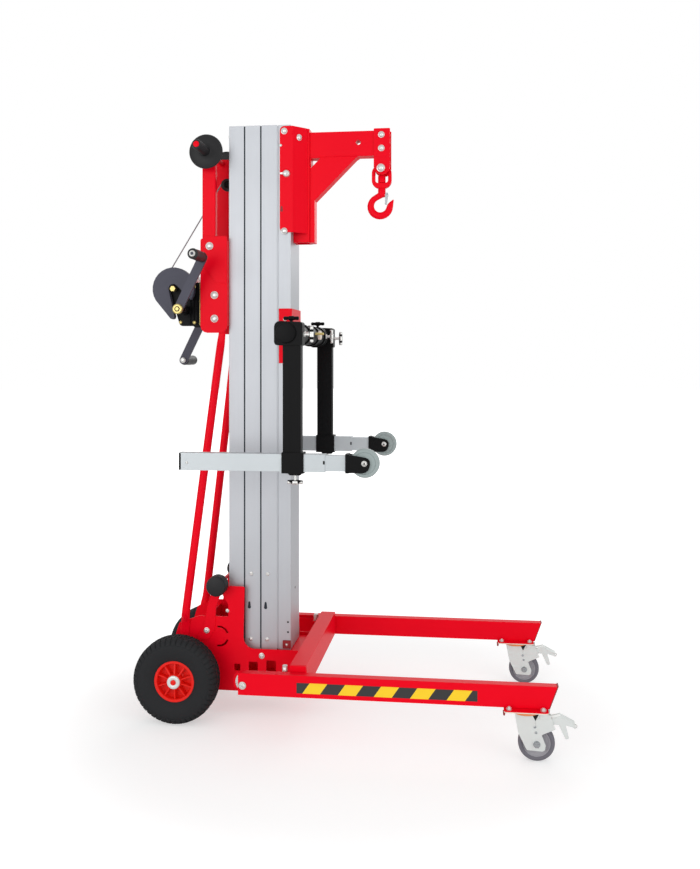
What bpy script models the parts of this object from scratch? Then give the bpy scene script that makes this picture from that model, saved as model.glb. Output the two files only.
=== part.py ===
"""Manual material lift: a wheeled base, a telescopic mast of four sections, a hand winch, a jib with a hook
and a pair of roller arms. Metres, +Z up, +X towards the legs' tips, -Y is the near side."""

import math

import bmesh
import bpy
from mathutils import Matrix, Vector

MM = 0.001
SIDES = (("near", -1), ("far", 1))
SEAT = 0.3 * MM
RUNNING = 0.5 * MM

# Rear wheels
WHEEL_RADIUS = 130 * MM
WHEEL_WIDTH = 85 * MM
WHEEL_Y = 175 * MM
RIM_RADIUS = 64 * MM
RIM_WALL = 4 * MM
RIM_RIBS = 10
HUB_RADIUS = 22 * MM
HUB_HALF = 32 * MM
AXLE_RADIUS = 10 * MM
SPACER_RADIUS = 17 * MM
AXLE_CAP_RADIUS = 24 * MM
AXLE_CAP_DEPTH = 6 * MM

# Casters
CASTER_RADIUS = 50 * MM
CASTER_WIDTH = 28 * MM
CASTER_TRAIL = 29 * MM
CASTER_PLATE = (120 * MM, 84 * MM, 4 * MM)
KINGPIN_X = 1033 * MM
FORK_TOP_Z = 137 * MM
FORK_WALL = 3 * MM
FORK_HEAD_RADIUS = 30 * MM
SEAL_HEIGHT = 2.4 * MM
CASTER_AXLE_RADIUS = 5 * MM
PEDAL_REACH = 133 * MM
PEDAL_WIDTH = 34 * MM

# Legs
LEG_Y = 310 * MM
LEG_WIDTH = 30 * MM
LEG_HEIGHT = 62 * MM
LEG_WALL = 3 * MM
LEG_REAR_X = 227 * MM
LEG_TIP_OVERHANG = 85 * MM
LEG_TIP_SLANT = 23 * MM
LEG_PIVOT = (240 * MM, 172 * MM)
LEG_BOLT_RADIUS = 6 * MM
PIVOT_DISC_RADIUS = 22 * MM
PIVOT_DISC_DEPTH = 4 * MM

# Base
SIDE_PLATE_Y = 97 * MM
SIDE_PLATE_WALL = 4 * MM
BASE_BOTTOM_Z = 75 * MM
BASE_REAR_X = -40 * MM
BASE_TOP_Z = 206 * MM
GUSSET_TOP_Z = 397 * MM
GUSSET_FRONT_X = 188 * MM
SLOT_CENTRE = (110 * MM, 241 * MM)
SLOT_RADIUS = 30 * MM
FLOOR_WALL = 4 * MM
FLOOR_Z = 77 * MM
WELD = 1 * MM
BEAM_REAR_X = 370 * MM
BEAM_DEPTH = 48 * MM
BEAM_TOP_Z = 223 * MM
BEAM_WALL = 3 * MM
BRACKET_WALL = 5.7 * MM
LEG_BRACKET_REAR_X = 205 * MM
LEDGE_DEPTH = 22 * MM
LOCK_PIN_X = 353 * MM
LOCK_PIN_TOP_Z = 218 * MM
LOCK_PIN_RADIUS = 5 * MM

# Rear loading rollers
LOAD_ROLLER = (112 * MM, 404 * MM)
LOAD_ROLLER_RADIUS = 31 * MM
LOAD_ROLLER_WIDTH = 38 * MM
LOAD_ROD_RADIUS = 6 * MM
LOAD_ARM_WALL = 4 * MM

# Mast
MAST_REAR_X = 136 * MM
MAST_BOTTOM_Z = 197 * MM
MAST_TOP_Z = 1824 * MM
SECTION_PITCH = 51.6 * MM
SECTION_GAP = 3 * MM
SECTION_HALF_WIDTH = 75 * MM
SECTION_WALL = 5 * MM
SLOT_HALF = 30 * MM
RAIL_NECK_HALF = 22 * MM
RAIL_HEAD_HALF = 45 * MM
RAIL_HEAD_WALL = 5 * MM
RAIL_PLAY = 1 * MM
CARRIAGE_DEPTH = 40 * MM
CARRIAGE_HALF_WIDTH = 71.5 * MM
STAGE_LIFT = 2 * MM
GLIDE_LENGTH = 60 * MM
GLIDE_PLAY = 0.5 * MM
FOOT_WALL = 6 * MM

# Winch bracket and handle
BOX_REAR_X = 50 * MM
BOX_BOTTOM_Z = 1180 * MM
BOX_HEIGHT = 293 * MM
BOX_HALF_WIDTH = 96 * MM
BOX_WALL = 4 * MM
BOX_WEB = 2.5 * MM
BOX_CORNER = 22 * MM
HANDLE_TUBE = (42 * MM, 24 * MM)
HANDLE_SETBACK = 4.5 * MM
HANDLE_RISE = 264 * MM
HANDLE_BAR_RADIUS = 8.5 * MM
GUARD_RADIUS = 53 * MM
GUARD_Y = 118 * MM
GRIP_LENGTH = 100 * MM
GRIP_RADIUS = 14.5 * MM
DOUBLER_WALL = 3 * MM
DOUBLER_HEIGHT = 139 * MM
DOUBLER_WIDTH = 34 * MM
STAY_FOOT = (2 * MM, 255 * MM)
STAY_HEAD_SETBACK = 16.7 * MM
STAY_HEAD_RISE = 10 * MM
STAY_RADIUS = 12.5 * MM
STAY_FLAT = 5 * MM

# Winch
DRUM_SETBACK = 88 * MM
DRUM_RISE = 138 * MM
GEAR_MODULE = 3 * MM
GEAR_TEETH = 38
PINION_TEETH = 12
PRESSURE_ANGLE = math.radians(25)
BACKLASH = 0.45 * MM
CRANK_BEARING = math.radians(-62.5)
GEAR_FACE = 10 * MM
WINCH_HALF_WIDTH = 74 * MM
WINCH_WALL = 4 * MM
WINCH_RISE = 22 * MM
WINCH_HEIGHT = 136 * MM
WINCH_BASE_HALF = 88 * MM
DRUM_CORE_RADIUS = 24 * MM
DRUM_FLANGE_RADIUS = 64 * MM
WINDING_RADIUS = 56 * MM
DRUM_BOLT_RADIUS = 7 * MM
COVER_RADIUS = 67 * MM
COVER_DEPTH = 20 * MM
COVER_WALL = 3 * MM
CRANK_SHAFT_RADIUS = 8 * MM
CRANK_ARM_Y = 146 * MM
CRANK_ARM_WALL = 8 * MM
CRANK_ARM_HALF = 14 * MM
CRANK_REACH = 175 * MM
CRANK_LEAN = math.radians(26)
CRANK_COLLAR_RADIUS = 14.5 * MM
CRANK_COLLAR_LENGTH = 30 * MM
RING_NUT = (15 * MM, 9 * MM)
KNOB_LENGTH = 104 * MM
KNOB_RADIUS = 16.5 * MM
KNOB_STUD_RADIUS = 5 * MM

# Lift cable
CABLE_RADIUS = 2 * MM
CABLE_STANDOFF = 7 * MM
CABLE_DRUM_Y = -30 * MM
PULLEY_DROP = 82 * MM
PULLEY_RADIUS = 20 * MM
PULLEY_GROOVE_RADIUS = 16 * MM
PULLEY_HALF_WIDTH = 6 * MM
PULLEY_CHEEK = 3 * MM
ANCHOR_Z = 430 * MM

# Jib, measured from the carriage's faces and the mast's top
JIB_TOP_DROP = 4 * MM
JIB_CHEEK_RISE = 27 * MM
JIB_WALL = 4 * MM
JIB_CHEEK_SETBACK = 6.2 * MM
JIB_FOLD_REACH = 6.2 * MM
JIB_POST_HALF = 30 * MM
JIB_POST_HEIGHT = 356 * MM
JIB_POST_DEPTH = 50.9 * MM
BOOM_DROP = 10 * MM
BOOM_HEIGHT = 78 * MM
BOOM_HALF = 22 * MM
BOOM_ROOT_DEPTH = 15 * MM
BOOM_NOSE = 80 * MM
GUSSET_REACH = 144 * MM
GUSSET_DROP = 136 * MM
GUSSET_CHAMFER = (10 * MM, 7 * MM)
GUSSET_RIM = (3.5 * MM, 3 * MM)
GUSSET_WINDOW = (29.5 * MM, 30 * MM)
BOOM_HOLE_SETBACK = 81 * MM
BOOM_HOLE_DROP = 35 * MM
BOOM_HOLE_RADIUS = 8 * MM
HANGER_WIDTH = 51 * MM
HANGER_OVERHANG = 19 * MM
HANGER_WALL = 4 * MM
HANGER_RISE = 6 * MM
HANGER_TIP = 19 * MM
BAIL_PIN_SETBACK = 9 * MM
BAIL_PIN_DROP = 41 * MM
BAIL_PIN_RADIUS = 7 * MM
BAIL_PIN_HEAD = (13 * MM, 9 * MM)
BAIL_HALF_DEPTH = 9 * MM
BAIL_LENGTH = 59 * MM
BAIL_HALF_WIDTH = 31 * MM
BAIL_RIM = 11 * MM
HOOK_STEM_RADIUS = 7 * MM
HOOK_BOWL_SETBACK = 5 * MM
HOOK_BOWL_DROP = 55 * MM
HOOK_BOWL_RADIUS = 33 * MM
LATCH_REACH = 15.7 * MM
LATCH_DROP = 18 * MM
LATCH_EYE_RADIUS = 4 * MM

# Roller arms, hung from the mast's top by way of clip and cross bar
CLIP_DROP = 569 * MM
CLIP_HEIGHT = 169 * MM
CLIP_SETBACK = 3.2 * MM
CLIP_WALL = 4 * MM
BAR_DROP = 82 * MM
BAR_RADIUS = 29 * MM
BAR_HALF_LENGTH = 329 * MM
BAR_KNOB_INSET = 62 * MM
POST_Y = 300 * MM
POST_SETBACK = 9.4 * MM
POST_DEPTH = 52 * MM
POST_WIDTH = 34 * MM
CLAMP_NOSE = 18.6 * MM
CLAMP_HEEL = 5 * MM
CLAMP_HALF_HEIGHT = 35 * MM
SLEEVE_REACH = (3 * MM, 8 * MM)
SLEEVE_WALL = 4 * MM
SLEEVE_KNOB_SETBACK = 27 * MM
ARM_DROP = 393 * MM
ARM_HEIGHT = 50 * MM
ARM_WIDTH = 34 * MM
ARM_WALL = 3 * MM
ARM_REAR_REACH = 297 * MM
ARM_FRONT_REACH = 61 * MM
INNER_ARM_OVERLAP = 28 * MM
INNER_ARM_REACH = 68 * MM
INNER_ARM_PLAY = 0.5 * MM
ARM_PLAY = 0.6 * MM
ROLLER_RISE = 1 * MM
ROLLER_RADIUS = 41.5 * MM
ROLLER_WIDTH = 26 * MM
ROLLER_AXLE_RADIUS = 5 * MM
ROLLER_FORK_GAP = 3 * MM
ROLLER_FORK_OVERLAP = 10 * MM
ROLLER_FORK_NOSE = 15 * MM
ROLLER_FORK_WALL = 4 * MM
KNOB_SCREW_RADIUS = 4 * MM
KNOB_BAR_HALF = 22 * MM

# The origin stands under the middle of the length, from the rear tyre to the brake pedals' tips.
AXLE_X = (WHEEL_RADIUS - KINGPIN_X - PEDAL_REACH) / 2
AXLE_Z = WHEEL_RADIUS
LEG_BOTTOM_Z = FORK_TOP_Z + SEAL_HEIGHT + 2 * SEAT + CASTER_PLATE[2] + SEAT
LEG_TOP_Z = LEG_BOTTOM_Z + LEG_HEIGHT
LEG_TIP_X = KINGPIN_X + LEG_TIP_OVERHANG
SECTION_DEPTH = SECTION_PITCH - SECTION_GAP
CARRIAGE_REAR_X = MAST_REAR_X + 3 * SECTION_PITCH
CARRIAGE_FRONT_X = CARRIAGE_REAR_X + CARRIAGE_DEPTH
STAGE_BOTTOM_Z = MAST_BOTTOM_Z + STAGE_LIFT
BOX_FRONT_X = MAST_REAR_X - SEAT
BOX_TOP_Z = BOX_BOTTOM_Z + BOX_HEIGHT
DOUBLER_BOTTOM_Z = BOX_TOP_Z - DOUBLER_HEIGHT
HANDLE_REAR_X = BOX_REAR_X + HANDLE_SETBACK
HANDLE_AXIS_Z = BOX_TOP_Z + HANDLE_RISE
STAY_HEAD = (BOX_FRONT_X - STAY_HEAD_SETBACK, BOX_BOTTOM_Z + STAY_HEAD_RISE)
DRUM_AXIS = (BOX_REAR_X - DRUM_SETBACK, BOX_BOTTOM_Z + DRUM_RISE)
WINCH_BOTTOM_Z = BOX_BOTTOM_Z + WINCH_RISE
WINCH_TOP_Z = WINCH_BOTTOM_Z + WINCH_HEIGHT
CABLE_DOWN_X = MAST_REAR_X - CABLE_STANDOFF
PULLEY_Z = HANDLE_AXIS_Z - PULLEY_DROP
GEAR_DISTANCE = GEAR_MODULE * (GEAR_TEETH + PINION_TEETH) / 2
CRANK_AXIS = (DRUM_AXIS[0] + GEAR_DISTANCE * math.cos(CRANK_BEARING),
              DRUM_AXIS[1] + GEAR_DISTANCE * math.sin(CRANK_BEARING))
PLATE_OUTER_Y = SIDE_PLATE_Y + SIDE_PLATE_WALL
LOAD_ROLLER_Y = PLATE_OUTER_Y + LOAD_ARM_WALL + SEAT + LOAD_ROLLER_WIDTH / 2
JIB_TOP_Z = MAST_TOP_Z - JIB_TOP_DROP
JIB_POST_BOTTOM_Z = JIB_TOP_Z - JIB_POST_HEIGHT
JIB_BOTTOM_Z = JIB_POST_BOTTOM_Z + JIB_CHEEK_RISE
JIB_CHEEK_REAR_X = CARRIAGE_REAR_X + JIB_CHEEK_SETBACK
JIB_FOLD_X = CARRIAGE_FRONT_X + JIB_FOLD_REACH
JIB_POST_FRONT_X = CARRIAGE_FRONT_X + SEAT + JIB_POST_DEPTH
BOOM_TOP_Z = JIB_TOP_Z - BOOM_DROP
BOOM_BOTTOM_Z = BOOM_TOP_Z - BOOM_HEIGHT
BOOM_FRONT_X = JIB_POST_FRONT_X + GUSSET_REACH + GUSSET_CHAMFER[0] + BOOM_NOSE
BOOM_HOLE = (BOOM_FRONT_X - BOOM_HOLE_SETBACK, BOOM_TOP_Z - BOOM_HOLE_DROP)
HANGER_FRONT_X = BOOM_FRONT_X + HANGER_OVERHANG
HANGER_REAR_X = HANGER_FRONT_X - HANGER_WIDTH
BAIL_PIN = (BOOM_FRONT_X - BAIL_PIN_SETBACK, BOOM_BOTTOM_Z - BAIL_PIN_DROP)
HANGER_BOTTOM_Z = BAIL_PIN[1] - HANGER_TIP
BAIL_BOTTOM_Z = BAIL_PIN[1] - BAIL_LENGTH
HOOK_BOWL = (BAIL_PIN[0] - HOOK_BOWL_SETBACK, BAIL_BOTTOM_Z - HOOK_BOWL_DROP)
LATCH_PIVOT = (BAIL_PIN[0] + LATCH_REACH, BAIL_BOTTOM_Z - LATCH_DROP)
CLIP_TOP_Z = MAST_TOP_Z - CLIP_DROP
CLIP_BOTTOM_Z = CLIP_TOP_Z - CLIP_HEIGHT
CLIP_REAR_X = CARRIAGE_REAR_X + CLIP_SETBACK
BAR_X = CARRIAGE_FRONT_X + SEAT + CLIP_WALL + BAR_RADIUS + SEAT
BAR_Z = CLIP_TOP_Z - BAR_DROP
POST_REAR_X = BAR_X - POST_SETBACK
CLAMP_FRONT_X = BAR_X + BAR_RADIUS + CLAMP_NOSE
SLEEVE_X = (POST_REAR_X - SLEEVE_REACH[0], POST_REAR_X + POST_DEPTH + SLEEVE_REACH[1])
ARM_BOTTOM_Z = BAR_Z - ARM_DROP
ARM_REAR_X = SLEEVE_X[0] - ARM_REAR_REACH
ARM_FRONT_X = SLEEVE_X[1] + ARM_FRONT_REACH
INNER_ARM = (ARM_FRONT_X - INNER_ARM_OVERLAP, ARM_FRONT_X + INNER_ARM_REACH)
ROLLER_FORK_BACK_X = INNER_ARM[1] - INNER_ARM_PLAY
ROLLER_X = ROLLER_FORK_BACK_X + ROLLER_FORK_GAP + ROLLER_RADIUS
ROLLER_FORK_X = (INNER_ARM[1] - ROLLER_FORK_OVERLAP, ROLLER_X + ROLLER_FORK_NOSE)
PULLEY_X = CABLE_DOWN_X - CABLE_RADIUS - PULLEY_GROOVE_RADIUS
BEAM_HALF = LEG_Y - LEG_WIDTH / 2 - SEAT - PIVOT_DISC_DEPTH - SEAT - BRACKET_WALL
LEDGE_TOP_Z = LEG_TOP_Z - 12 * MM
LOCK_PIN_Y = BEAM_HALF - LEDGE_DEPTH / 2
ARM_MID_Z = ARM_BOTTOM_Z + ARM_HEIGHT / 2
ROLLER_Z = ARM_MID_Z + ROLLER_RISE
HANDLE_AXIS_X = HANDLE_REAR_X + HANDLE_TUBE[0] / 2

# Paint, metal, plastic and rubber: colour, roughness, metallic value
FINISHES = {
    "red_paint": ((0.75, 0.010, 0.020), 0.35, 0.0),
    "aluminium": ((0.64, 0.67, 0.70), 0.38, 0.9),
    "black_paint": ((0.012, 0.012, 0.013), 0.45, 0.0),
    "slate_paint": ((0.065, 0.065, 0.085), 0.45, 0.0),
    "zinc": ((0.68, 0.70, 0.69), 0.3, 0.9),
    "yellow_zinc": ((0.62, 0.50, 0.22), 0.3, 0.9),
    "black_rubber": ((0.02, 0.02, 0.021), 0.8, 0.0),
    "rim_plastic": ((0.80, 0.045, 0.015), 0.45, 0.0),
    "grey_rubber": ((0.19, 0.18, 0.20), 0.7, 0.0),
    "pale_rubber": ((0.40, 0.45, 0.45), 0.6, 0.0),
    "black_plastic": ((0.035, 0.035, 0.037), 0.5, 0.0),
    "cable_steel": ((0.42, 0.42, 0.42), 0.4, 0.9),
}


def clear_scene():
    for old in list(bpy.data.objects):
        bpy.data.objects.remove(old, do_unlink=True)


def finish_material(name):
    found = bpy.data.materials.get(name)
    if found:
        return found
    colour, roughness, metallic = FINISHES[name]
    made = bpy.data.materials.new(name)
    made.use_nodes = True
    shader = made.node_tree.nodes["Principled BSDF"]
    shader.inputs["Base Color"].default_value = (*colour, 1.0)
    shader.inputs["Roughness"].default_value = roughness
    shader.inputs["Metallic"].default_value = metallic
    return made


def axle(point, y=0.0):
    """World place of a point given as (x from the rear axle, z)."""
    return Vector((AXLE_X + point[0], y, point[1]))


def piece(name, bm, finish, origin=(0.0, 0.0, 0.0), sharp=35):
    """Make the named object from a mesh in world places, with its origin on its joint's axis."""
    origin = Vector(origin)
    bmesh.ops.translate(bm, vec=-origin, verts=bm.verts)
    mesh = bpy.data.meshes.new(name)
    bm.to_mesh(mesh)
    bm.free()
    mesh.materials.append(finish_material(finish))
    mesh.shade_smooth()
    mesh.set_sharp_from_angle(angle=math.radians(sharp))
    made = bpy.data.objects.new(name, mesh)
    made.location = origin
    bpy.context.collection.objects.link(made)
    return made


def boolean(base, tools, operation):
    """Cut or join solids with the exact solver, one tool at a time."""
    for tool in tools:
        pair = []
        for bm in (base, tool):
            mesh = bpy.data.meshes.new("solid")
            bm.to_mesh(mesh)
            bm.free()
            made = bpy.data.objects.new("solid", mesh)
            bpy.context.collection.objects.link(made)
            pair.append(made)
        cut = pair[0].modifiers.new("cut", "BOOLEAN")
        cut.operation = operation
        cut.solver = "EXACT"
        cut.object = pair[1]
        graph = bpy.context.evaluated_depsgraph_get()
        result = pair[0].evaluated_get(graph).to_mesh()
        base = bmesh.new()
        base.from_mesh(result)
        bmesh.ops.remove_doubles(base, verts=base.verts, dist=1e-6)
        bmesh.ops.dissolve_limit(base, angle_limit=math.radians(0.3), verts=base.verts, edges=base.edges)
        for made in pair:
            mesh = made.data
            bpy.data.objects.remove(made)
            bpy.data.meshes.remove(mesh)
    return base


def cut(base, *tools):
    return boolean(base, tools, "DIFFERENCE")


def join(base, *tools):
    return boolean(base, tools, "UNION")


def outward(bm):
    bmesh.ops.recalc_face_normals(bm, faces=bm.faces)
    return bm


def box(low, high):
    bm = bmesh.new()
    size = [high[i] - low[i] for i in range(3)]
    middle = [(high[i] + low[i]) / 2 for i in range(3)]
    bmesh.ops.create_cube(bm, size=1.0, matrix=Matrix.Translation(middle) @ Matrix.Diagonal((*size, 1.0)))
    return outward(bm)


AXIS_MAPS = {
    "X": lambda u, v, t: (t, u, v),
    "Y": lambda u, v, t: (AXLE_X + u, t, v),
    "Z": lambda u, v, t: (AXLE_X + u, v, t),
}


def plate(outline, axis, start, end, holes=()):
    """Extrude an outline with holes.

    Along Y it lies in (x from the axle, z), along Z in (x, y) and along X in (y, z).
    """
    place = AXIS_MAPS[axis]
    bm = bmesh.new()
    edges = []
    for loop in (outline, *holes):
        ring = [bm.verts.new(place(u, v, start)) for u, v in loop]
        edges += [bm.edges.new((a, b)) for a, b in zip(ring, ring[1:] + ring[:1])]
    bmesh.ops.triangle_fill(bm, edges=edges, use_beauty=True)
    grown = bmesh.ops.extrude_face_region(bm, geom=list(bm.faces))
    moved = [item for item in grown["geom"] if isinstance(item, bmesh.types.BMVert)]
    shift = Vector(place(0, 0, end)) - Vector(place(0, 0, start))
    bmesh.ops.translate(bm, vec=shift, verts=moved)
    return outward(bm)


def arc(centre, radius, first, last, count):
    """Points on an arc, both ends included, angles in degrees."""
    angles = [math.radians(first + (last - first) * i / (count - 1)) for i in range(count)]
    return [(centre[0] + radius * math.cos(a), centre[1] + radius * math.sin(a)) for a in angles]


def circle(centre, radius, count=12):
    return arc(centre, radius, 0, 360 - 360 / count, count)


def rounded(corners, count=3):
    """An outline whose corners (u, v, radius) are rounded where the radius is not zero."""
    points = []
    total = len(corners)
    for i, (u, v, radius) in enumerate(corners):
        here = Vector((u, v))
        if radius == 0:
            points.append((u, v))
            continue
        before = (Vector(corners[i - 1][:2]) - here).normalized()
        after = (Vector(corners[(i + 1) % total][:2]) - here).normalized()
        half = before.angle(after) / 2
        centre = here + (before + after).normalized() * (radius / math.sin(half))
        reach = radius / math.tan(half)
        start = here + before * reach - centre
        finish = here + after * reach - centre
        sweep = start.angle_signed(finish)
        for step in range(count + 1):
            turned = start.copy()
            turned.rotate(Matrix.Rotation(-sweep * step / count, 2))
            points.append(tuple(centre + turned))
    return points


def rectangle(u0, v0, u1, v1, radius=0.0):
    return rounded([(u0, v0, radius), (u1, v0, radius), (u1, v1, radius), (u0, v1, radius)], 3)


def turned(profile, centre, axis="Y", steps=12, way=1):
    """Revolve (radius, place along the axis) pairs, given round the section, about an axis through centre."""
    bm = bmesh.new()
    rings = []
    for radius, along in profile:
        if radius == 0:
            rings.append([bm.verts.new((0, 0, along))])
            continue
        angles = [2 * math.pi * i / steps for i in range(steps)]
        rings.append([bm.verts.new((radius * math.cos(a), radius * math.sin(a), along)) for a in angles])
    closed = profile[0][0] != 0
    pairs = list(zip(rings, rings[1:])) + ([(rings[-1], rings[0])] if closed else [])
    for one, two in pairs:
        for i in range(steps):
            k = (i + 1) % steps
            corners = [one[i % len(one)], one[k % len(one)], two[k % len(two)], two[i % len(two)]]
            bm.faces.new(list(dict.fromkeys(corners)))
    direction = {"X": Vector((1, 0, 0)), "Y": Vector((0, 1, 0)), "Z": Vector((0, 0, 1))}[axis] * way
    turn = Vector((0, 0, 1)).rotation_difference(direction).to_matrix().to_4x4()
    bm.transform(Matrix.Translation(centre) @ turn)
    return outward(bm)


def rod(centre, radius, start, end, axis="Y", steps=12):
    """A round bar between two places along an axis, measured from centre."""
    return turned([(0, start), (radius, start), (radius, end), (0, end)], centre, axis, steps)


def sweep(points, sections, sides=10, wide=(0, 1, 0)):
    """Loft ellipses (half width across, half width along wide) along a path that lies square to wide."""
    bm = bmesh.new()
    wide = Vector(wide)
    rings = []
    for i, point in enumerate(points):
        before = Vector(points[max(i - 1, 0)])
        after = Vector(points[min(i + 1, len(points) - 1)])
        side = (after - before).normalized().cross(wide).normalized()
        half, depth = sections[i]
        ring = []
        for k in range(sides):
            angle = 2 * math.pi * k / sides
            offset = side * (half * math.cos(angle)) + wide * (depth * math.sin(angle))
            ring.append(bm.verts.new(Vector(point) + offset))
        rings.append(ring)
    for one, two in zip(rings, rings[1:]):
        for k in range(sides):
            m = (k + 1) % sides
            bm.faces.new((one[k], one[m], two[m], two[k]))
    bm.faces.new(rings[0])
    bm.faces.new(rings[-1])
    return outward(bm)


def bar_of_box(x0, x1, y0, y1, z0, z1, wall, axis):
    """A rectangular tube with open ends; x is measured from the axle."""
    if axis == "X":
        outer, inner = rectangle(y0, z0, y1, z1), rectangle(y0 + wall, z0 + wall, y1 - wall, z1 - wall)
        return plate(outer, "X", AXLE_X + x0, AXLE_X + x1, [inner])
    if axis == "Y":
        outer, inner = rectangle(x0, z0, x1, z1), rectangle(x0 + wall, z0 + wall, x1 - wall, z1 - wall)
        return plate(outer, "Y", y0, y1, [inner])
    outer, inner = rectangle(x0, y0, x1, y1), rectangle(x0 + wall, y0 + wall, x1 - wall, y1 - wall)
    return plate(outer, "Z", z0, z1, [inner])


def span(side, inner, outer):
    """Start and end along Y of a layer that lies between two distances from the middle, on one side."""
    return tuple(sorted((side * inner, side * outer)))


def rear_axle():
    """The through axle with its outer caps and the spacers that hold the wheels off the chassis."""
    half = WHEEL_Y + HUB_HALF + SEAT
    end = half + AXLE_CAP_DEPTH
    inner = WHEEL_Y - HUB_HALF - SEAT
    spacer = PLATE_OUTER_Y + SEAT
    profile = [
        (0, -end), (AXLE_CAP_RADIUS * 0.55, -end), (AXLE_CAP_RADIUS, -half - AXLE_CAP_DEPTH / 2),
        (AXLE_CAP_RADIUS, -half),
        (AXLE_RADIUS, -half), (AXLE_RADIUS, -inner), (SPACER_RADIUS, -inner), (SPACER_RADIUS, -spacer),
        (AXLE_RADIUS, -spacer),
    ]
    profile += [(radius, -along) for radius, along in reversed(profile)]
    piece("rear_axle", turned(profile, axle((0, AXLE_Z)), "Y", 12), "zinc")


def rear_wheel(name, side):
    centre = axle((0, AXLE_Z), side * WHEEL_Y)
    half = WHEEL_WIDTH / 2
    bead = RIM_RADIUS + SEAT
    tyre = [
        (bead, -half * 0.62), (bead + 14 * MM, -half * 0.86), (WHEEL_RADIUS * 0.8, -half),
        (WHEEL_RADIUS * 0.93, -half),
        (WHEEL_RADIUS, -half * 0.72), (WHEEL_RADIUS, half * 0.72), (WHEEL_RADIUS * 0.93, half),
        (WHEEL_RADIUS * 0.8, half), (bead + 14 * MM, half * 0.86), (bead, half * 0.62),
    ]
    piece("tyre_" + name, turned(tyre, centre, "Y", 24), "black_rubber", centre)
    lip = half * 0.6
    bore = AXLE_RADIUS + RUNNING
    web = 5 * MM
    rim = [
        (bore, -HUB_HALF), (HUB_RADIUS, -HUB_HALF), (HUB_RADIUS, -web), (RIM_RADIUS - RIM_WALL, -web),
        (RIM_RADIUS - RIM_WALL, -lip), (RIM_RADIUS, -lip), (RIM_RADIUS, lip), (RIM_RADIUS - RIM_WALL, lip),
        (RIM_RADIUS - RIM_WALL, web), (HUB_RADIUS, web), (HUB_RADIUS, HUB_HALF), (bore, HUB_HALF),
    ]
    body = turned(rim, centre, "Y", 12)
    ribs = []
    for i in range(RIM_RIBS):
        rib = box((HUB_RADIUS - 3 * MM, -lip * 0.85, -2 * MM),
                  (RIM_RADIUS - RIM_WALL + 1 * MM, lip * 0.85, 2 * MM))
        turn = Matrix.Rotation(2 * math.pi * (i + 0.5) / RIM_RIBS, 4, "Y")
        rib.transform(Matrix.Translation(centre) @ turn)
        ribs.append(rib)
    piece("rim_" + name, join(body, *ribs), "rim_plastic", centre)


def arc_slot(centre, inner, outer, first, last, count=4):
    return arc(centre, outer, first, last, count) + arc(centre, inner, last, first, count)


def side_plates():
    """Both side plates: gusset to the mast, three windows, two arc slots, the axle's bore."""
    fillet = 34 * MM
    corner = (GUSSET_FRONT_X + fillet, BASE_TOP_Z + fillet)
    front = BEAM_REAR_X - SEAT
    lower = rounded([
        (BASE_REAR_X, BASE_BOTTOM_Z, 12 * MM), (front, BASE_BOTTOM_Z, 0), (front, BASE_TOP_Z, 0),
        (BASE_REAR_X, BASE_TOP_Z, 0),
    ])[:-1]
    upper = rounded([
        (front, BASE_TOP_Z, 0), (GUSSET_FRONT_X, GUSSET_TOP_Z, 12 * MM), (132 * MM, GUSSET_TOP_Z, 6 * MM),
        (120 * MM, 372 * MM, 0), (140 * MM, 340 * MM, 0), (140 * MM, 303 * MM, 0), (48 * MM, 303 * MM, 0),
        (-16 * MM, 279 * MM, 10 * MM), (BASE_REAR_X, 200 * MM, 0),
    ])[1:]
    outline = lower + arc(corner, fillet, 270, 180, 6) + upper
    windows = [rectangle(159 * MM, 137 * MM, 178 * MM, 158 * MM, 2 * MM),
               rectangle(205 * MM, 137 * MM, 233 * MM, 166 * MM, 2 * MM),
               rectangle(260 * MM, 137 * MM, 290 * MM, 172 * MM, 2 * MM)]
    inner, outer = SLOT_RADIUS - 3 * MM, SLOT_RADIUS + 3 * MM
    slots = [arc_slot(SLOT_CENTRE, inner, outer, first, first + 80) for first in (20, 260)]
    bore = circle((0, AXLE_Z), AXLE_RADIUS + SEAT)
    holes = [*windows, *slots, bore]
    return [plate(outline, "Y", *span(side, SIDE_PLATE_Y, PLATE_OUTER_Y), holes) for _, side in SIDES]


def chassis():
    """The welded base: side plates, floor, rear wall, mast foot and the arms of the rear loading rollers."""
    half = SIDE_PLATE_Y + WELD
    front = BEAM_REAR_X - 4 * MM
    floor = plate(rectangle(BASE_REAR_X + 14 * MM, -half, front, half), "Z", FLOOR_Z, FLOOR_Z + FLOOR_WALL,
                  [rectangle(150 * MM, -60 * MM, 320 * MM, 60 * MM, 15 * MM)])
    wall = plate(rectangle(60 * MM, FLOOR_Z + WELD, 64 * MM, 290 * MM), "Y", -half, half)
    top = MAST_BOTTOM_Z - SEAT
    foot = plate(rectangle(118 * MM, -half, front - 10 * MM, half), "Z", top - FOOT_WALL, top)
    skirt = plate(rectangle(120 * MM, FLOOR_Z + WELD, 124 * MM, top - WELD), "Y", -half, half)
    body = join(side_plates()[0], floor, side_plates()[1], wall, skirt, foot)
    piece("chassis", join(body, *loading_arms()), "red_paint")


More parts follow.
